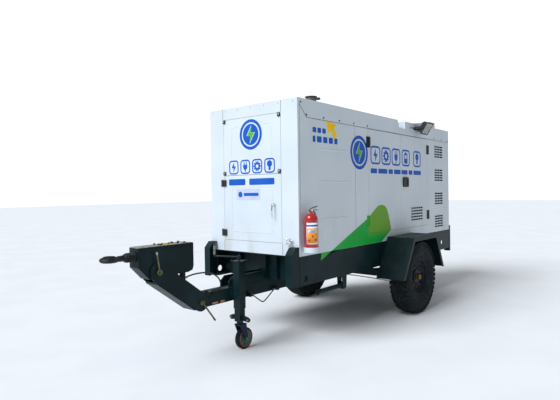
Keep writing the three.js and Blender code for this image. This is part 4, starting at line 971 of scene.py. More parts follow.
# Galvanised sheet: pale zinc, feathery spangle, white bloom and road dust.
galvanised, tree, surface, place = coating("galvanised_sheet", metallic=0.55, roughness=0.5)
spangle = add(tree, "ShaderNodeTexVoronoi", {"Vector": place, "Scale": 1 / 0.012}).outputs["Distance"]
zinc_tone = tinted(tree, spangle, "#b3b3a6", "#8d8e84")
feed(tree, surface, Base_Color=tinted(tree, patches(tree, place, 0.05, 0.45, 0.75, 6), zinc_tone, "#d5d3c4"))
relief(tree, surface, (spangle, 0.0003), (patches(tree, place, 0.08, 0.2, 0.8, 2), 0.002))
# Forged steel, blackened: hammer-scale texture with bright rub marks where the hitch pin bears.
forged, tree, surface, place = coating("blackened_forging", metallic=0.5, roughness=0.5)
feed(tree, surface, Base_Color=tinted(tree, patches(tree, place, 0.03, 0.5, 0.75, 6), "#1b2226", "#3b4347"))
relief(tree, surface, (patches(tree, place, 0.012, 0.3, 0.7, 4), 0.0008))
# Zinc-plated steel: cool grey, slightly cloudy, duller where it is handled.
plated, tree, surface, place = coating("zinc_plated_steel", metallic=1.0, roughness=0.42)
feed(tree, surface, Base_Color=tinted(tree, patches(tree, place, 0.025, 0.35, 0.7, 5), "#9a9d98", "#77786f"))
relief(tree, surface, (patches(tree, place, 0.003, 0.3, 0.7, 2), 0.00015))

# Olive-passivated zinc: dull, greenish and rubbed where the levers are gripped.
dull_zinc, tree, surface, place = coating("olive_passivated_zinc", metallic=0.7, roughness=0.5)
feed(tree, surface, Base_Color=tinted(tree, patches(tree, place, 0.02, 0.35, 0.7, 5), "#6f6f52", "#4b4c3a"))
relief(tree, surface, (patches(tree, place, 0.003, 0.3, 0.7, 2), 0.00015))

lid = piece("head_lid",
            slab((lid_low.x, lid_low.y, lid_low.z), (lid_high.x, lid_high.y, lid_low.z + 0.005)), "head",
            "cover_sheet", galvanised)
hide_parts("head_cover")
eased(lid, 0.002)
lid_z = lid_low.z + 0.005
label = slab((-0.05, lid_low.y + 0.24, lid_z), (0.052, lid_low.y + 0.385, lid_z + 0.0008))
eased(piece("caution_label", label, "head", "cover_sheet", yellow_vinyl), 0.0003)
for i, y in enumerate((0.258, 0.286, 0.314, 0.342, 0.370)):
    stripe = slab((-0.042, lid_low.y + y - 0.006, lid_z + 0.0008),
                  (0.044, lid_low.y + y + 0.006, lid_z + 0.0013))
    eased(piece(f"caution_stripe_{i}", stripe, "head", "black_plastic", nylon), 0.0002)
hex_bolt = lathe("bolt", [(0.0, 0.0), (0.013, 0.0), (0.013, 0.0022), (0.0087, 0.0023), (0.0087, 0.0085),
                          (0.0075, 0.01),
                          (0.0, 0.0102)], (0, 0, 0), "z", 6)

group = bpy.data.node_groups.new("bolt_set", "GeometryNodeTree")
for label, kind in (("Places", "Geometry"), ("Bolt", "Object"), ("Finish", "Material"), ("Facing", "Vector")):
    group.interface.new_socket(name=label, in_out="INPUT", socket_type=f"NodeSocket{kind}")
group.interface.new_socket(name="Bolts", in_out="OUTPUT", socket_type="NodeSocketGeometry")
given = add(group, "NodeGroupInput").outputs
turn = add(group, "FunctionNodeAlignRotationToVector", {"Vector": given["Facing"]}, axis="Z").outputs[0]
part = add(group, "GeometryNodeObjectInfo", {"Object": given["Bolt"]}).outputs["Geometry"]
placed = add(group, "GeometryNodeInstanceOnPoints",
             {"Points": given["Places"], "Instance": part, "Rotation": turn})
real = add(group, "GeometryNodeRealizeInstances", {0: placed.outputs[0]})
add(group, "NodeGroupOutput", {0: add(group, "GeometryNodeSetMaterial", {
    "Geometry": real.outputs[0], "Material": given["Finish"]}).outputs[0]})
bolt_set = group
bolt_pattern = bpy.data.objects.new("bolt_pattern", hex_bolt)


def bolts(name, places, facing, body, finish, slot="zinc"):
    """Hexagon bolt heads on their washers at a list of places, all facing one way."""
    ring = grown(name, points("places", places), bolt_set, body, slot, bolt=bolt_pattern, finish=finish,
                 facing=facing)
    return eased(ring, 0.0006)


bolts("lid_bolts", [(x, lid_low.y + y, lid_z) for y in (0.225, 0.4, 0.47) for x in (-0.042, 0.042)],
      (0, 0, 1), "head", enamel)
bolts("lid_studs", [(0.0, lid_low.y + y, lid_z) for y in (0.235, 0.268, 0.34, 0.375)], (0, 0, 1), "head",
      enamel)
for side, x in (("left", head_high.x), ("right", head_low.x)):
    rim = [(x, head_low.y + 0.02, head_high.z - 0.012), (x, head_high.y - 0.02, head_high.z - 0.012)]
    grown(f"head_weld_{side}", paths("runs", rim), weld_run, "head", "chassis_paint", throat=0.0028,
          ripple_spacing=0.004, finish=enamel)

eye_low, eye_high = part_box("tow_eye")
eye_z = (eye_low.z + eye_high.z) / 2
ring_y = eye_low.y + 0.074
shape = bmesh.new()
loop = lathe("eye_ring",
             [(0.0385, -0.013), (0.043, -0.0175), (0.055, -0.019), (0.066, -0.014), (0.0725, -0.006),
                          (0.074, 0.0), (0.0725, 0.006), (0.066, 0.014), (0.055, 0.019), (0.043, 0.0175),
                          (0.0385, 0.013), (0.0385, -0.013)], (0, ring_y, eye_z), "z", 64)
bush = lathe("eye_bush", [(0.037, -0.021), (0.044, -0.021), (0.0455, -0.019), (0.0455, 0.023), (0.044, 0.026),
                          (0.037, 0.026), (0.037, -0.021)], (0, ring_y, eye_z), "z", 48)
neck_y = eye_low.y + 0.14
shaft = lathe("eye_shaft",
              [(0.0, 0.0), (0.020, 0.0), (0.022, 0.01), (0.0235, 0.03), (0.024, 0.058), (0.030, 0.062),
                            (0.030, 0.376), (0.0, 0.38)], (0, neck_y - 0.004, eye_z), "y", 48)
for part in (loop, bush, shaft):
    shape.from_mesh(part)
ring_mesh = bpy.data.meshes.new("eye")
shape.to_mesh(ring_mesh)
shape.free()
standing("forged_eye", ring_mesh, "tow_eye", "chassis_paint", forged, 0.0008, 50)
boot = [(0.031, 0.0)]
for i in range(12):
    swell = 0.0385 - 0.004 * (i < 2)
    boot += [(swell, 0.003 + 0.0065 * i), (swell - 0.006, 0.0062 + 0.0065 * i)]
boot += [(0.039, 0.081), (0.039, 0.0825), (0.029, 0.0825), (0.029, 0.0), (0.031, 0.0)]
eased(piece("eye_boot", lathe("boot", boot, (0, head_low.y - 0.0832, eye_z), "y", 40), "eye",
            "black_plastic", rubber),
      0.0008)

# ---- Drawbar fittings: pivot bolts with washers, the pivots' clamp levers, amber reflector strips
# and a greasy nut on each pivot's far side.

arm_pivot = Vector((0, front_y - 0.740, 0.515))
head_pivot = Vector((0, front_y - 1.183, 0.840))
for tag, pivot, node in (("upper", head_pivot, "clamp_lever_upper"),
                         ("lower", arm_pivot, "clamp_lever_lower")):
    low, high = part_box(node)
    collar = [(0.011, 0.0), (0.0235, 0.0), (0.024, 0.001), (0.024, 0.017), (0.0215, 0.0205), (0.015, 0.0205),
              (0.0145, 0.017), (0.011, 0.017), (0.011, 0.0)]
    core = [(0.0, 0.0), (0.0105, 0.0), (0.0105, 0.022), (0.007, 0.0235), (0.0, 0.0235)]
    tip = Vector((0.0923, front_y - 1.214, 1.008)) if tag == "upper" else Vector((0.0923, front_y - 0.6,
                                                                                  0.331))
    start = Vector((0.0863, pivot.y, pivot.z))
    way = (tip - start).normalized()
    shape = bmesh.new()
    for part in (lathe("collar", collar, (low.x, pivot.y, pivot.z), "x", 40),
                 lathe("core", core, (low.x, pivot.y, pivot.z), "x", 6)):
        shape.from_mesh(part)
    rod = lathe("rod", [(0.0, 0.0), (0.0078, 0.0), (0.0078, (tip - start).length - 0.02),
                        (0.006, (tip - start).length
                - 0.0172), (0.0, (tip - start).length - 0.0165)], (0, 0, 0), "z", 24)
    rod.transform(Matrix.Translation(start + way * 0.016) @ way.to_track_quat("Z", "Y").to_matrix().to_4x4())
    shape.from_mesh(rod)
    mesh = bpy.data.meshes.new(f"lever_{tag}")
    shape.to_mesh(mesh)
    shape.free()
    standing(f"clamp_bar_{tag}", mesh, node, "zinc", dull_zinc, 0.0006)
    sleeve = lathe("sleeve",
                   [(0.0079, 0.0), (0.0086, 0.001), (0.0086, 0.021), (0.0078, 0.0225), (0.0, 0.0228),
                              (0.0, 0.0), (0.0079, 0.0)], (0, 0, 0), "z", 24)
    sleeve.transform(Matrix.Translation(tip - way * 0.0225) @ way.to_track_quat("Z",
                                                                                "Y").to_matrix().to_4x4())
    eased(piece(f"lever_tip_{tag}", sleeve, f"{tag}_lever", "zinc",
                galvanised if tag == "upper" else rubber), 0.0005)
    washer = lathe("washer", [(0.0, 0.0), (0.034, 0.0), (0.034, 0.0032), (0.0, 0.0032)],
                   (-0.0772, pivot.y, pivot.z))
    eased(piece(f"pivot_washer_{tag}", washer, "arm", "zinc", plated), 0.0006)
    nut = lathe("nut", [(0.0, 0.0), (0.022, 0.0), (0.022, -0.004), (0.021, -0.006), (0.0, -0.006)],
                (-0.0738, pivot.y, pivot.z), sides=6)
    eased(piece(f"pivot_nut_{tag}", nut, "arm", "zinc", plated), 0.0006)

# Retroreflective film: amber, with the honeycomb of its glass beads.
amber, tree, surface, place = coating("amber_reflective_film", roughness=0.25, coat_weight=0.5)
cells = add(tree, "ShaderNodeTexVoronoi", {"Vector": place, "Scale": 1 / 0.004}).outputs["Distance"]
feed(tree, surface, Base_Color=tinted(tree, cells, "#c8811d", "#8b5512"))
relief(tree, surface, (cells, 0.0003))
for side, x, turn in (("left", 0.0605, 1), ("right", -0.0605, -1)):
    for i, (y0, y1) in enumerate(((-0.605, -0.535), (-0.505, -0.45))):
        strip = slab((x, front_y + y0, 0.468), (x + turn * 0.0012, front_y + y1, 0.486))
        eased(piece(f"reflector_{side}_{i}", strip, "trailer", "zinc", amber), 0.0004)

# ---- Brake hose and cables: rubber-covered hose held in clips at both ends, fixed where it lies, and
# plastic-sheathed cable in crimped ferrules.

# Hose rubber: smooth, satin, with a faint cloth wrap pressed into it.
hose_rubber, tree, surface, place = coating("wrapped_hose_rubber", roughness=0.5)
feed(tree, surface, Base_Color=tinted(tree, patches(tree, place, 0.03, 0.35, 0.7), "#141a1b", "#232a2a"))
relief(tree, surface, (patches(tree, place, 0.002, 0.3, 0.7, 1, (1, 1, 0.3)), 0.0003))


def flexible(name, knots, radius, node, slot, finish, sides=4):
    """A round hose on a smooth curve through its knots, standing for its CAD solid."""
    curve = bpy.data.curves.new(name, "CURVE")
    curve.dimensions = "3D"
    curve.bevel_depth, curve.bevel_resolution, curve.use_fill_caps = radius, sides, True
    curve.resolution_u = 10
    spline = curve.splines.new("BEZIER")
    spline.bezier_points.add(len(knots) - 1)
    for i, (point, knot) in enumerate(zip(spline.bezier_points, knots)):
        before, after = knots[max(i - 1, 0)], knots[min(i + 1, len(knots) - 1)]
        chord = (Vector(after) - Vector(before)).normalized()
        point.co = knot
        point.handle_left = Vector(knot) - chord * (Vector(knot) - Vector(before)).length / 3
        point.handle_right = Vector(knot) + chord * (Vector(after) - Vector(knot)).length / 3
    obj = bpy.data.objects.new(name, curve)
    scene.collection.objects.link(obj)
    depsgraph = bpy.context.evaluated_depsgraph_get()
    mesh = bpy.data.meshes.new_from_object(obj.evaluated_get(depsgraph), depsgraph=depsgraph)
    bpy.data.objects.remove(obj)
    mesh.shade_smooth()
    made = piece(name, mesh, frame["nodes"][node]["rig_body"], slot, finish)
    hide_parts(node)
    return made


hose_knots = [(0.0, -0.867, 0.745), (0.0, -0.815, 0.752), (0.004, -0.760, 0.760), (0.012, -0.689, 0.762),
              (0.024, -0.630, 0.757), (0.038, -0.548, 0.728), (0.056, -0.502, 0.672), (0.069, -0.510, 0.614),
              (0.070, -0.566, 0.599), (0.070, -0.640, 0.598)]
hose = flexible("hose", [(x, y + front_y, z) for x, y, z in hose_knots], 0.0068, "brake_hose",
                "cable_black", hose_rubber)
hose.parent = None
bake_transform(hose)
front_knots = [(0.085, -0.125, 0.4825), (0.085, -0.10, 0.472), (0.085, 0.02, 0.392), (0.085, 0.052, 0.378),
               (0.085, 0.088, 0.388), (0.085, 0.222, 0.472), (0.085, 0.245, 0.482)]
flexible("front_cable", [(x, y + front_y, z) for x, y, z in front_knots], 0.0058, "brake_cable_front",
         "cable_black",
         hose_rubber)
axle_knots = [(s * x, 1.9, z) for s, x,
              z in ((-1, 0.688, 0.352), (-1, 0.56, 0.352), (-1, 0.3, 0.366), (1, 0.0, 0.374),
                                              (1, 0.3, 0.366), (1, 0.56, 0.352), (1, 0.688, 0.352))]
# Cable sheath: cream PVC, chalky and dusty.
pale_sheath, tree, surface, place = coating("cream_pvc_sheath", roughness=0.6)
feed(tree, surface, Base_Color=tinted(tree, patches(tree, place, 0.04, 0.35, 0.7), "#e9e2cf", "#cfc7b2"))
flexible("axle_cable", [(x, y + front_y, z) for x, y, z in axle_knots], 0.0068, "brake_cable_axle", "zinc",
         pale_sheath)
for i, (centre, axis, body) in enumerate((((0.0, front_y - 0.866, 0.745), "y", "head"),
                                          ((0.070, front_y - 0.664, 0.598), "y", "arm"),
                                          ((0.085, front_y - 0.124, 0.4825), "y", "trailer"),
                                          ((0.085, front_y + 0.215, 0.479), "y", "trailer"))):
    ferrule = [(0.0, 0.0), (0.0098, 0.0), (0.0105, 0.002), (0.0105, 0.011), (0.0088, 0.013), (0.0088, 0.024),
               (0.0098, 0.026), (0.0098, 0.03), (0.0, 0.03)]
    eased(piece(f"ferrule_{i}", lathe("ferrule", ferrule, centre, axis, 24), body, "zinc", plated), 0.0005)

# ---- Jack: the crank turns a screw inside the square tubes; at its foot a blue fork carries a
# caster with a green steel centre, a thin red band and a grey rubber tread.

crank_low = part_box("jack_crank")[0]
jack = Vector((0.125, front_y - 0.320, 0))
reach, turn = 0.258, math.radians(198)
grip = jack + Vector((reach * math.cos(turn), reach * math.sin(turn), 0))
shape = bmesh.new()
spindle_top = 0.888
for part in (lathe("spindle", [(0.0, crank_low.z), (0.0118, crank_low.z), (0.0118, spindle_top - 0.002),
                               (0.010, spindle_top), (0.0, spindle_top)], (jack.x, jack.y, 0), "z", 32),
             lathe("boss", [(0.0, 0.8635), (0.0185, 0.8635), (0.0185, 0.8805), (0.0, 0.8805)],
                   (jack.x, jack.y, 0),
                   "z", 6),
             lathe("pin", [(0.0, 0.872), (0.0075, 0.872), (0.0075, 0.9615), (0.0, 0.9615)],
                   (grip.x, grip.y, 0),
                   "z", 24)):
    shape.from_mesh(part)
along = (grip - jack).normalized()
arm = slab((0, -0.0105, 0.8665), (reach, 0.0105, 0.8775))
arm.transform(Matrix.Translation((jack.x, jack.y, 0)) @ Matrix.Rotation(turn, 4, "Z"))
shape.from_mesh(arm)
crank_mesh = bpy.data.meshes.new("crank")
shape.to_mesh(crank_mesh)
shape.free()
standing("crank_handle", crank_mesh, "jack_crank", "zinc", forged, 0.0012)
knob = [(0.0078, 0.885), (0.0105, 0.885), (0.0118, 0.89), (0.0112, 0.92), (0.0118, 0.955), (0.0105, 0.9655),
        (0.0, 0.966),
        (0.0, 0.9616), (0.0078, 0.9616), (0.0078, 0.885)]
eased(piece("crank_grip", lathe("grip", knob, (grip.x, grip.y, 0), "z", 32), "crank", "zinc", plated), 0.0006)
bolts("jack_bolts", [(jack.x + s * 0.047, jack.y + t * 0.047, 0.838) for s in (-1, 1) for t in (-1, 1)],
      (0, 0, 1),
      "trailer", enamel)
bolts("leg_pins", [(jack.x + s * 0.108, jack.y - 0.007, 0.295) for s in (-1, 1)], (0, -1, 0), "jack_leg",
      plated)


# Fork enamel: dark blue gloss, chipped to grey primer at the edges.
fork_blue, tree, surface, place = coating("blue_stove_enamel", roughness=0.4, specular_ior_level=0.2)
chips = patches(tree, place, 0.012, 0.66, 0.74, 6)
tone = tinted(tree, patches(tree, place, 0.04, 0.35, 0.7), "#061a33", "#0b2644")
feed(tree, surface, Base_Color=tinted(tree, chips, tone, "#2c363e"))
relief(tree, surface, (chips, -0.0003))
refined("caster_fork", 0.002, "fork_blue", fork_blue)
wheel_low, wheel_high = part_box("caster_wheel")
caster = (wheel_low + wheel_high) / 2
half = 0.024
tread_profile = [(0.081, -half), (0.092, -half), (0.0975, -half + 0.004), (0.1, -half + 0.011),
                 (0.1, half - 0.011),
                 (0.0975, half - 0.004), (0.092, half), (0.081, half)]
standing("caster_tread", lathe("tread", tread_profile + tread_profile[:1], caster), "caster_wheel",
         "caster_green",
         tyre_rubber, 0.0006, 50)
# Polyurethane bond: a dull brick-red band between the rubber and the steel.
red_bond, tree, surface, place = coating("red_polyurethane", roughness=0.45)
feed(tree, surface, Base_Color=tinted(tree, patches(tree, place, 0.01, 0.35, 0.7), "#8e2420", "#a3362c"))
band = [(0.0745, -half - 0.0008), (0.0812, -half - 0.0008), (0.0812, half + 0.0008), (0.0745, half + 0.0008)]
eased(piece("caster_band", lathe("band", band + band[:1], caster), "jack_wheel", "caster_green", red_bond),
      0.0008)
# Centre enamel: grey-green hammered paint, dusty in the dish.
hub_green, tree, surface, place = coating("green_hammered_enamel", roughness=0.4)
tone = tinted(tree, patches(tree, place, 0.03, 0.35, 0.7), "#3b6655", "#2c5244")
feed(tree, surface, Base_Color=tinted(tree, patches(tree, place, 0.02, 0.6, 0.8, 6), tone, "#80847a"))
relief(tree, surface, (patches(tree, place, 0.005, 0.3, 0.7, 2), 0.0005))
centre = [(0.0, -0.030), (0.019, -0.030), (0.021, -0.028), (0.022, -0.014), (0.03, -0.011), (0.06, -0.014),
          (0.068, -0.022), (0.0746, -0.0235), (0.0746, 0.0235), (0.068, 0.022), (0.06, 0.014), (0.03, 0.011),
          (0.022, 0.014), (0.021, 0.028), (0.019, 0.030), (0.0, 0.030)]
eased(piece("caster_centre", lathe("centre", centre, caster), "jack_wheel", "caster_green", hub_green),
      0.0008)
for face in (-1, 1):
    bolts(f"caster_axle_{face > 0:d}", [(jack.x + face * 0.038, caster.y, 0.1)], (face, 0, 0), "caster",
          plated)
rib = slab((0.0125, -0.003, 0.024), (0.0185, 0.003, 0.066))
grown("caster_ribs", rib, round_ring, "jack_wheel", "caster_green", count=6, centre=tuple(caster),
      axis=(1, 0, 0),
      part_turn=0.0, finish=hub_green)

# ---- Door furniture: turned hinge pins with rubber caps, latch paddles in their cups, the chromed
# front handle, and the drain valve's four-lobed chromed knob.

# Chrome plating: mirror bright over polished zinc casting, with water spots.
chrome, tree, surface, place = coating("chrome_plating", metallic=1.0, roughness=0.14)
spots = patches(tree, place, 0.006, 0.6, 0.75, 3)
feed(tree, surface, Base_Color=tinted(tree, spots, "#dfe3e6", "#aab0b5"),
     Roughness=add(tree, "ShaderNodeMapRange", {"Value": spots, "To Min": 0.12, "To Max": 0.4}).outputs[0])
for side in ("left", "right"):
    refined(f"door_latch_{side}", 0.0025, "black_plastic", nylon, segments=3)
    x = side_x if side == "left" else -side_x
    way = 1 if side == "left" else -1
    lock = lathe("lock", [(0.0, 0.0), (0.0095, 0.0), (0.0095, 0.0055), (0.0075, 0.0065), (0.0, 0.0065)],
                 (0, 0, 0), "x", 24)
    lock.transform(Matrix.Translation((x + way * 0.0095, front_y + 2.182, 1.575)) @ Matrix.Scale(way, 4,
                                                                                                 (1, 0, 0)))
    if way < 0:
        lock.flip_normals()
    eased(piece(f"latch_lock_{side}", lock, f"latch_{side}", "zinc", chrome), 0.0004)
    for door, y in (("front", 1.298), ("rear", 2.943)):
        for z in ((2.02, 1.13) if door == "front" else (2.024, 1.129)):
            pin = [(0.0, -0.0625), (0.0052, -0.0625), (0.0052, 0.0625), (0.0, 0.0625)]
            eased(piece(f"hinge_pin_{door}_{side}_{z > 1.5:d}",
                        lathe("pin", pin, (x + way * 0.012, front_y + y, z), "z", 20),
                        f"door_{door}_{side}", "black_plastic", stainless), 0.0006)
            spots = [(x + way * 0.0143, front_y + y + (0.021 if door == "front" else -0.021), z + dz)
                     for dz in (-0.035, 0.035)]
            grown(f"hinge_screws_{door}_{side}_{z > 1.5:d}", points("places", spots), screw_row,
                  f"door_{door}_{side}", "zinc", head_radius=0.0048, head_height=0.0024, washer_radius=0.0055,
                  facing=(way, 0, 0), head_finish=stainless, washer_finish=rubber)
for i, z in enumerate((1.058, 1.573)):
    pin = [(0.0, -0.0345), (0.0052, -0.0345), (0.0052, 0.0345), (0.0, 0.0345)]
    eased(piece(f"front_hinge_pin_{i}", lathe("pin", pin, (-0.391, front_y - 0.012, z), "z", 20),
                "door_front",
                "black_plastic", stainless), 0.0006)
turns = [(x, front_y - 0.012, z) for x in (-0.372, 0.372) for z in (1.673, 2.211)]
grown("quarter_turns", points("places", turns), screw_row, "panel_front", "zinc", head_radius=0.0095,
      head_height=0.004, washer_radius=0.0125, facing=(0, -1, 0), head_finish=stainless, washer_finish=rubber)

shape = bmesh.new()
top, foot = Vector((0.302, front_y - 0.037, 1.352)), Vector((0.298, front_y - 0.037, 1.232))
for part in (lathe("rose",
                   [(0.0, -0.0004), (0.0168, -0.0004), (0.0168, -0.009), (0.0135, -0.0125), (0.0095, -0.0135),
                            (0.0092, -0.037), (0.0, -0.0395)], (top.x, front_y, top.z), "y", 40),):
    shape.from_mesh(part)
handle_mesh = bpy.data.meshes.new("handle")
shape.to_mesh(handle_mesh)
shape.free()
lever = bpy.data.meshes.new("lever")
shape = bmesh.new()
steps, around = 18, 16
rings = []
for i in range(steps + 1):
    share = i / steps
    middle = top.lerp(foot, share) + Vector((0, 0.0035 * math.cos(share * math.pi * 2) - 0.0035, 0))
    wide = 0.0088 * (1 - 0.25 * share) * (1 if 0 < i < steps else 0.55)
    deep = 0.0066 * (1 - 0.15 * share) * (1 if 0 < i < steps else 0.55)
    middle.z += 0.004 if i == 0 else -0.002 if i == steps else 0
    rings.append([shape.verts.new(middle + Vector((wide * math.cos(a), deep * math.sin(a), 0)))
                  for a in (2 * math.pi * k / around for k in range(around))])
for first, second in zip(rings, rings[1:]):
    for k in range(around):
        shape.faces.new((first[k], first[k - 1], second[k - 1], second[k]))
shape.faces.new(rings[0])
shape.faces.new(rings[-1][::-1])
shape.from_mesh(handle_mesh)
bmesh.ops.recalc_face_normals(shape, faces=shape.faces)
shape.to_mesh(lever)
shape.free()
standing("door_handle", lever, "front_handle", "chrome", chrome, 0.0006)

knob_at = Vector((0.49, front_y, 1.01))
outline = []
for k in range(72):
    angle = 2 * math.pi * k / 72
    outline.append((0.0265 + 0.0175 * math.cos(4 * (angle - math.pi / 4)), angle))
shape = bmesh.new()
levels = ((-0.0262, 0.88), (-0.0275, 0.97), (-0.034, 1.0), (-0.0405, 0.96), (-0.0418, 0.85))
rings = [[shape.verts.new(knob_at + Vector((r * grow * math.cos(a), y, r * grow * math.sin(a)))) for r,
          a in outline]
         for y, grow in levels]
for first, second in zip(rings, rings[1:]):
    for k in range(len(outline)):
        shape.faces.new((first[k - 1], first[k], second[k], second[k - 1]))
shape.faces.new(rings[0])
shape.faces.new(rings[-1][::-1])
shape.from_mesh(lathe("stem",
                      [(0.0, -0.0004), (0.0165, -0.0004), (0.0165, -0.004), (0.0125, -0.006), (0.0125, -0.03),
                               (0.0, -0.03)], knob_at, "y", 40))
bmesh.ops.recalc_face_normals(shape, faces=shape.faces)
knob_mesh = bpy.data.meshes.new("knob")
shape.to_mesh(knob_mesh)
shape.free()
standing("drain_knob", knob_mesh, "valve_knob", "chrome", chrome, 0.0008)

# ---- Fire extinguisher: a red drawn-steel bottle with a paper label, a brass valve with black
# squeeze levers, and a black hose to a nozzle clipped at its side, in a white bracket.

bottle_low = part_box("extinguisher")[0]
foot = Vector((0.672, front_y + 0.085, bottle_low.z))
# Red polyester enamel: deep gloss over a slightly wavy drawn shell.
red_enamel, tree, surface, place = coating("red_gloss_enamel", roughness=0.22, coat_weight=0.4)
feed(tree, surface, Base_Color=tinted(tree, patches(tree, place, 0.05, 0.35, 0.7), "#a90f17", "#bb1a1f"))
relief(tree, surface, (patches(tree, place, 0.03, 0.2, 0.8, 2), 0.0008))
shell = [(0.0, 0.006), (0.045, 0.004), (0.058, 0.0), (0.0625, 0.0), (0.0645, 0.004), (0.0648, 0.012),
         (0.0632, 0.016),
         (0.0632, 0.285), (0.0615, 0.302), (0.056, 0.318), (0.046, 0.331), (0.034, 0.34), (0.024, 0.345),
         (0.019, 0.3485), (0.0165, 0.352), (0.0165, 0.36), (0.0, 0.361)]
standing("bottle_shell", lathe("shell", shell, foot, "z", 64), "extinguisher", "extinguisher_red",
         red_enamel, 0.0006, 55)
# Brass: cast and machined, dulled to brown in its corners.
brass, tree, surface, place = coating("cast_brass", metallic=1.0, roughness=0.35)
feed(tree, surface, Base_Color=tinted(tree, patches(tree, place, 0.01, 0.35, 0.7), "#b08a3c", "#7d6130"))
valve = [(0.0, 0.361), (0.0152, 0.361), (0.0152, 0.367), (0.012, 0.369), (0.012, 0.377), (0.0, 0.377)]
eased(piece("valve_collar", lathe("collar", valve, foot, "z", 32), "bottle", "zinc", brass), 0.0005)
body = slab((foot.x - 0.0115, foot.y - 0.021, foot.z + 0.366),
            (foot.x + 0.0115, foot.y + 0.023, foot.z + 0.3865))
eased(piece("valve_body", body, "bottle", "zinc", brass), 0.003)
gauge = lathe("gauge", [(0.0, 0.0), (0.0105, 0.0), (0.0105, 0.007), (0.009, 0.008), (0.0, 0.008)],
              (foot.x + 0.0115, foot.y - 0.006, foot.z + 0.3755), "x", 28)
eased(piece("valve_gauge", gauge, "bottle", "zinc", chrome), 0.0005)


def ribbon(name, spine, width, thick, node, body, slot, finish):
    """A pressed strip of steel bent along a spine of (y, z) points."""
    shape = bmesh.new()
    rows = []
    for i, (y, z) in enumerate(spine):
        before, after = spine[max(i - 1, 0)], spine[min(i + 1, len(spine) - 1)]
        way = Vector((0, after[0] - before[0], after[1] - before[1])).normalized()
        up = Vector((1, 0, 0)).cross(way)
        rows.append([shape.verts.new(Vector((foot.x + a * width / 2, y, z)) + up * b * thick / 2)
                     for a, b in ((-1, -1), (1, -1), (1, 1), (-1, 1))])
    for first, second in zip(rows, rows[1:]):
        for k in range(4):
            shape.faces.new((first[k - 1], first[k], second[k], second[k - 1]))
    shape.faces.new(rows[0])
    shape.faces.new(rows[-1][::-1])
    bmesh.ops.recalc_face_normals(shape, faces=shape.faces)
    mesh = bpy.data.meshes.new(name)
    shape.to_mesh(mesh)
    shape.free()
    obj = piece(name, mesh, body, slot, finish)
    if node:
        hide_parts(node)
    return eased(obj, 0.0009)


lift = foot.z + 0.345
carry = [(foot.y + 0.012, lift + 0.033), (foot.y + 0.035, lift + 0.035), (foot.y + 0.06, lift + 0.034),
         (foot.y + 0.08, lift + 0.033), (foot.y + 0.0915, lift + 0.029)]
ribbon("carry_handle", carry, 0.018, 0.005, None, "bottle", "black_plastic", nylon)
squeeze = [(foot.y - 0.004, lift + 0.049), (foot.y + 0.014, lift + 0.0505), (foot.y + 0.04, lift + 0.055),
           (foot.y + 0.07, lift + 0.0605), (foot.y + 0.0955, lift + 0.0655)]
ribbon("squeeze_handle", squeeze, 0.018, 0.005, "extinguisher_lever", "squeeze_lever", "black_plastic", nylon)


def wrap(name, half_turn, heading, radius, low, high, finish, lift=0.0005):
    """A label wrapped round the bottle over an arc about a heading."""
    shape = bmesh.new()
    steps = 24
    inner, outer = [], []
    for row, r in ((inner, radius), (outer, radius + lift)):
        for z in (low, high):
            row.append([shape.verts.new(foot + Vector((r * math.cos(a), r * math.sin(a), z)))
                        for a in (heading + half_turn * (2 * k / steps - 1) for k in range(steps + 1))])
    for k in range(steps):
        shape.faces.new((outer[0][k], outer[0][k + 1], outer[1][k + 1], outer[1][k]))
        shape.faces.new((inner[0][k + 1], inner[0][k], inner[1][k], inner[1][k + 1]))
        shape.faces.new((outer[1][k], outer[1][k + 1], inner[1][k + 1], inner[1][k]))
        shape.faces.new((inner[0][k], inner[0][k + 1], outer[0][k + 1], outer[0][k]))
    for k in (0, steps):
        shape.faces.new((inner[0][k], inner[1][k], outer[1][k], outer[0][k]))
    bmesh.ops.recalc_face_normals(shape, faces=shape.faces)
    mesh = bpy.data.meshes.new(name)
    shape.to_mesh(mesh)
    shape.free()
    mesh.shade_smooth()
    return piece(name, mesh, "bottle", "extinguisher_red", finish)


# Varnished paper: amber, sun-faded in patches.
label_paper, tree, surface, place = coating("varnished_amber_paper", roughness=0.35)
feed(tree, surface, Base_Color=tinted(tree, patches(tree, place, 0.02, 0.35, 0.7), "#e98b14", "#f0a32c"))
seen_way = math.radians(-42)
for name, half_turn, low, high, finish, lift in (
        ("label_ground", 0.95, 0.065, 0.262, white_vinyl, 0.0005),
                                                 ("label_amber", 0.86, 0.076, 0.212, label_paper, 0.0008),
        ("label_blue", 0.95, 0.228, 0.244, blue_vinyl, 0.0008),
                                                 ("label_picture_1", 0.1, 0.128, 0.148, red_enamel, 0.0011),
        ("label_panel", 0.62, 0.168, 0.200, white_vinyl, 0.0011)):
    wrap(name, half_turn, seen_way, 0.0633, low, high, finish, lift)
for k in range(5):
    wrap(f"label_line_{k}", 0.5 - 0.05 * (k % 2), seen_way, 0.0633, 0.172 + 0.0055 * k, 0.1745 + 0.0055 * k,
         nylon, 0.0014)
for k, angle in enumerate((-0.5, 0.5)):
    wrap(f"label_spot_{k}", 0.16, seen_way + angle, 0.0633, 0.094, 0.116, red_enamel, 0.0011)
hose_path = [(foot.x - 0.012, foot.y + 0.02, foot.z + 0.375), (foot.x + 0.0, foot.y + 0.045, foot.z + 0.368),
             (foot.x + 0.008, foot.y + 0.069, foot.z + 0.32),
             (foot.x + 0.012, foot.y + 0.0745, foot.z + 0.24),
             (foot.x + 0.014, foot.y + 0.0755, foot.z + 0.14),
             (foot.x + 0.014, foot.y + 0.0755, foot.z + 0.075)]
smooth_path = []
for a, b in zip(hose_path, hose_path[1:]):
    smooth_path += [tuple(Vector(a).lerp(Vector(b), k / 6)) for k in range(6)]
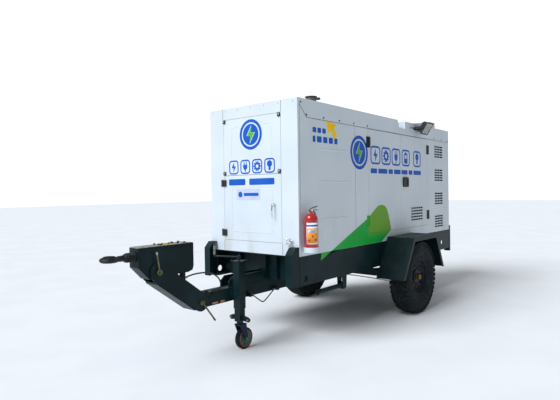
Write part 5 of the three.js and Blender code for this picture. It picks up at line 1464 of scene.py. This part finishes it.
for _ in range(6):
    smooth_path = [smooth_path[0]] + [tuple((Vector(p) + Vector(q) + Vector(r)) / 3) for p, q, r in
                                      zip(smooth_path, smooth_path[1:], smooth_path[2:])] + [smooth_path[-1]]
bead("discharge_hose", smooth_path, 0.0062, (0, 0, 0), "bottle", "black_plastic", hose_rubber)
nozzle = [(0.0, 0.078), (0.0072, 0.078), (0.0085, 0.06), (0.0105, 0.03), (0.0125, 0.008), (0.0125, 0.0),
          (0.0, 0.002)]
eased(piece("hose_nozzle",
            lathe("nozzle", nozzle, (foot.x + 0.014, foot.y + 0.0755, foot.z + 0.012), "z", 28), "bottle",
            "extinguisher_red", red_enamel), 0.0005)
refined("extinguisher_bracket", 0.0012, "canopy_paint", powder_coat)

# ---- Floodlight: a black cast-aluminium lamp with cooling fins, a toughened glass over a square
# grid of light-emitting chips, tilted on a bent steel yoke.

# Cast aluminium, powder coated black: grainy from the mould, greying on its corners.
cast_black, tree, surface, place = coating("black_coated_casting", roughness=0.55)
feed(tree, surface, Base_Color=tinted(tree, patches(tree, place, 0.03, 0.4, 0.75), "#171a1b", "#2b2f30"))
relief(tree, surface, (patches(tree, place, 0.002, 0.3, 0.7, 1), 0.0002))
for node in ("floodlight_bracket", "floodlight_head"):
    refined(node, 0.0015, "lamp_black", cast_black)
tilt = Matrix.Translation((0.706, front_y + 2.62, 2.292)) @ Matrix.Rotation(math.radians(33), 4, "Y")
# Reflector film: warm metallised plastic behind each chip, yellow-green from the phosphor.
phosphor, tree, surface, place = coating("phosphor_chips", roughness=0.35)
feed(tree, surface, Base_Color=tinted(tree, patches(tree, place, 0.01, 0.35, 0.7), "#c9c94a", "#a5ad4e"))
reflector, tree, surface, place = coating("metallised_reflector", metallic=0.8, roughness=0.28)
feed(tree, surface, Base_Color=tinted(tree, patches(tree, place, 0.03, 0.35, 0.7), "#8f9a8c", "#727d72"))
back_plate = slab((0.0262, -0.088, -0.069), (0.0272, 0.088, 0.069))
back_plate.transform(tilt)
eased(piece("lamp_reflector", back_plate, "floodlight", "chrome", reflector), 0.0003)
chip = slab((-0.001, -0.0045, -0.0045), (0.0018, 0.0045, 0.0045))
chip.transform(tilt.to_3x3().to_4x4())
spread = [tilt @ Vector((0.0275, y * 0.018, z * 0.018)) for y in range(-3, 4) for z in range(-2, 3)]
chip_pattern = bpy.data.objects.new("chip_pattern", chip)
grown("lamp_chips", points("places", spread), bolt_set, "floodlight", "lamp_black", bolt=chip_pattern,
      finish=phosphor, facing=(0, 0, 1))
# Toughened glass: clear with a faint green edge, dusty towards the bottom.
glass, tree, surface, place = coating("toughened_glass", roughness=0.04, ior=1.5, transmission_weight=0.92)
feed(tree, surface, Base_Color=tinted(tree, patches(tree, place, 0.05, 0.35, 0.7), "#dfeadf", "#cdd8c6"))
pane = slab((0.0295, -0.0905, -0.0715), (0.032, 0.0905, 0.0715))
pane.transform(tilt)
eased(piece("lamp_glass", pane, "floodlight", "lamp_black", glass), 0.0004)
bolts("yoke_bolts", [(side_x + 0.0061, front_y + y, 2.281) for y in (2.40, 2.46, 2.655)], (1, 0, 0),
      "trailer", plated)

# ---- Exhaust: a rolled steel pipe through the roof, flared at its mouth, under a hinged rain cap
# with a counterweight; the silencer drum hangs inside.

# Heat-stained steel: grey-brown oxide, straw and blue tints, and specks of rust.
exhaust_steel, tree, surface, place = coating("heat_stained_steel", metallic=0.7, roughness=0.5)
oxide = tinted(tree, patches(tree, place, 0.05, 0.35, 0.7, 5), "#5a5b5a", "#77706a")
feed(tree, surface, Base_Color=tinted(tree, patches(tree, place, 0.015, 0.6, 0.75, 7), oxide, "#6b4630"))
relief(tree, surface, (patches(tree, place, 0.006, 0.3, 0.7, 5), 0.0004))
for node in ("exhaust_pipe", "rain_cap", "silencer"):
    refined(node, 0.0015, "exhaust_grey", exhaust_steel)
stack_at = Vector((0.3, front_y + 0.62, roof_z))
collar = [(0.0655, 0.0004), (0.098, 0.0004), (0.098, 0.003), (0.072, 0.0045), (0.069, 0.022),
          (0.0655, 0.0225),
          (0.0655, 0.0004)]
eased(piece("roof_collar", lathe("collar", collar, stack_at, "z", 64), "trailer", "black_plastic", rubber),
      0.0008)
band = [(0.0552, 0.035), (0.0585, 0.035), (0.0585, 0.047), (0.0552, 0.047), (0.0552, 0.035)]
eased(piece("pipe_band", lathe("band", band, stack_at, "z", 64), "trailer", "zinc", plated), 0.0006)

# ---- Rear: moulded lamps with a ribbed lens in red, amber and clear, and a socket between them.

# Acrylic lens: glossy, saturated, with moulded prisms showing as fine ribs.
lens_finishes = []
for name, dark, light in (("red_acrylic_lens", "#7d0f12", "#b01a1c"),
                          ("amber_acrylic_lens", "#b35a08", "#d9780f"),
                          ("clear_acrylic_lens", "#b9bcbc", "#d8dada")):
    finish, tree, surface, place = coating(name, roughness=0.12, coat_weight=0.6)
    ribs = add(tree, "ShaderNodeTexWave", {"Vector": place, "Scale": 1 / 0.02}, bands_direction="X")
    feed(tree, surface, Base_Color=tinted(tree, ribs.outputs["Fac"], dark, light))
    relief(tree, surface, (ribs.outputs["Fac"], 0.0008))
    lens_finishes.append(finish)
for side, way in (("left", 1), ("right", -1)):
    refined(f"tail_lamp_{side}", 0.004, "lamp_red", cast_black)
    low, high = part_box(f"tail_lamp_{side}")
    edges = (0.014, 0.07, 0.108, 0.146)
    for k, finish in enumerate((lens_finishes[0], lens_finishes[1], lens_finishes[2])):
        u0, u1 = (edges[k], edges[k + 1])
        x0, x1 = (high.x - u1, high.x - u0) if way > 0 else (low.x + u0, low.x + u1)
        lens = slab((x0 + 0.001, high.y - 0.007, low.z + 0.013),
                    (x1 - 0.001, high.y - 0.0003, high.z - 0.013))
        eased(piece(f"tail_lens_{side}_{k}", lens, "trailer", "lamp_red", finish), 0.0025, 3)
rear_bolts = [(x, rear_y + 0.0003, z) for x in (-0.2, -0.12, 0.12, 0.2) for z in (0.8,)]
bolts("rear_bolts", rear_bolts, (0, 1, 0), "trailer", plated)
socket = [(0.0, 0.0), (0.038, 0.0), (0.038, 0.008), (0.03, 0.01), (0.029, 0.034), (0.033, 0.036),
          (0.033, 0.044),
          (0.0, 0.044)]
eased(piece("rear_socket", lathe("socket", socket, (0.0, rear_y + 0.0003, 0.80), "y", 40), "trailer",
            "black_plastic",
            nylon), 0.0008)

# ---- Generating set, seen through open doors: green engine, grey alternator, finned radiator and
# fan, sheet-steel control cabinet, battery and the moulded fuel tank under the deck.

# Engine enamel: mid green, thick and glossy where clean, oily and dark in the corners.
engine_enamel, tree, surface, place = coating("green_engine_enamel", roughness=0.36)
oily = patches(tree, place, 0.1, 0.5, 0.8, 6)
feed(tree, surface, Base_Color=tinted(tree, oily, "#2c6138", "#1d2d20"))
relief(tree, surface, (patches(tree, place, 0.01, 0.3, 0.7, 3), 0.0006))
# Sand-cast iron, painted grey: coarse sand grain under a thin coat.
cast_grey, tree, surface, place = coating("grey_painted_casting", roughness=0.5)
feed(tree, surface, Base_Color=tinted(tree, patches(tree, place, 0.08, 0.35, 0.7, 5), "#6f7376", "#595d60"))
relief(tree, surface, (patches(tree, place, 0.005, 0.3, 0.7, 3), 0.0006))
# Brazed aluminium: pale, directional, with dust in the fins.
aluminium, tree, surface, place = coating("brazed_aluminium", metallic=0.9, roughness=0.42)
fins = add(tree, "ShaderNodeTexWave", {"Vector": place, "Scale": 1 / 0.02},
           bands_direction="Z").outputs["Fac"]
bright = tinted(tree, fins, "#8d9194", "#b9bdc0")
feed(tree, surface, Base_Color=tinted(tree, patches(tree, place, 0.1, 0.5, 0.8, 6), bright, "#6d675c"))
relief(tree, surface, (fins, 0.001))
# Cabinet paint: textured light grey powder coat.
cabinet_grey, tree, surface, place = coating("textured_grey_coat", roughness=0.55)
feed(tree, surface, Base_Color=tinted(tree, patches(tree, place, 0.2, 0.35, 0.7), "#b9bab2", "#adaea7"))
relief(tree, surface, (patches(tree, place, 0.003, 0.3, 0.7, 2), 0.0003))
# Rotomoulded polyethylene: waxy black, softly rippled by the mould.
polyethylene, tree, surface, place = coating("rotomoulded_polyethylene", roughness=0.48)
feed(tree, surface, Base_Color=tinted(tree, patches(tree, place, 0.15, 0.4, 0.75, 5), "#131516", "#26292a"))
relief(tree, surface, (patches(tree, place, 0.03, 0.2, 0.8, 2), 0.0015))
for node, width, slot, finish in (
        ("engine", 0.006, "engine_green", engine_enamel), ("alternator", 0.006, "alternator_grey", cast_grey),
        ("radiator", 0.003, "radiator_aluminium", aluminium), ("fan", 0.003, "black_plastic", nylon),
        ("control_cabinet", 0.003, "cabinet_grey", cabinet_grey),
                                  ("battery", 0.004, "black_plastic", polyethylene),
        ("fuel_tank", 0.012, "tank_black", polyethylene)):
    refined(node, width, slot, finish, segments=3)
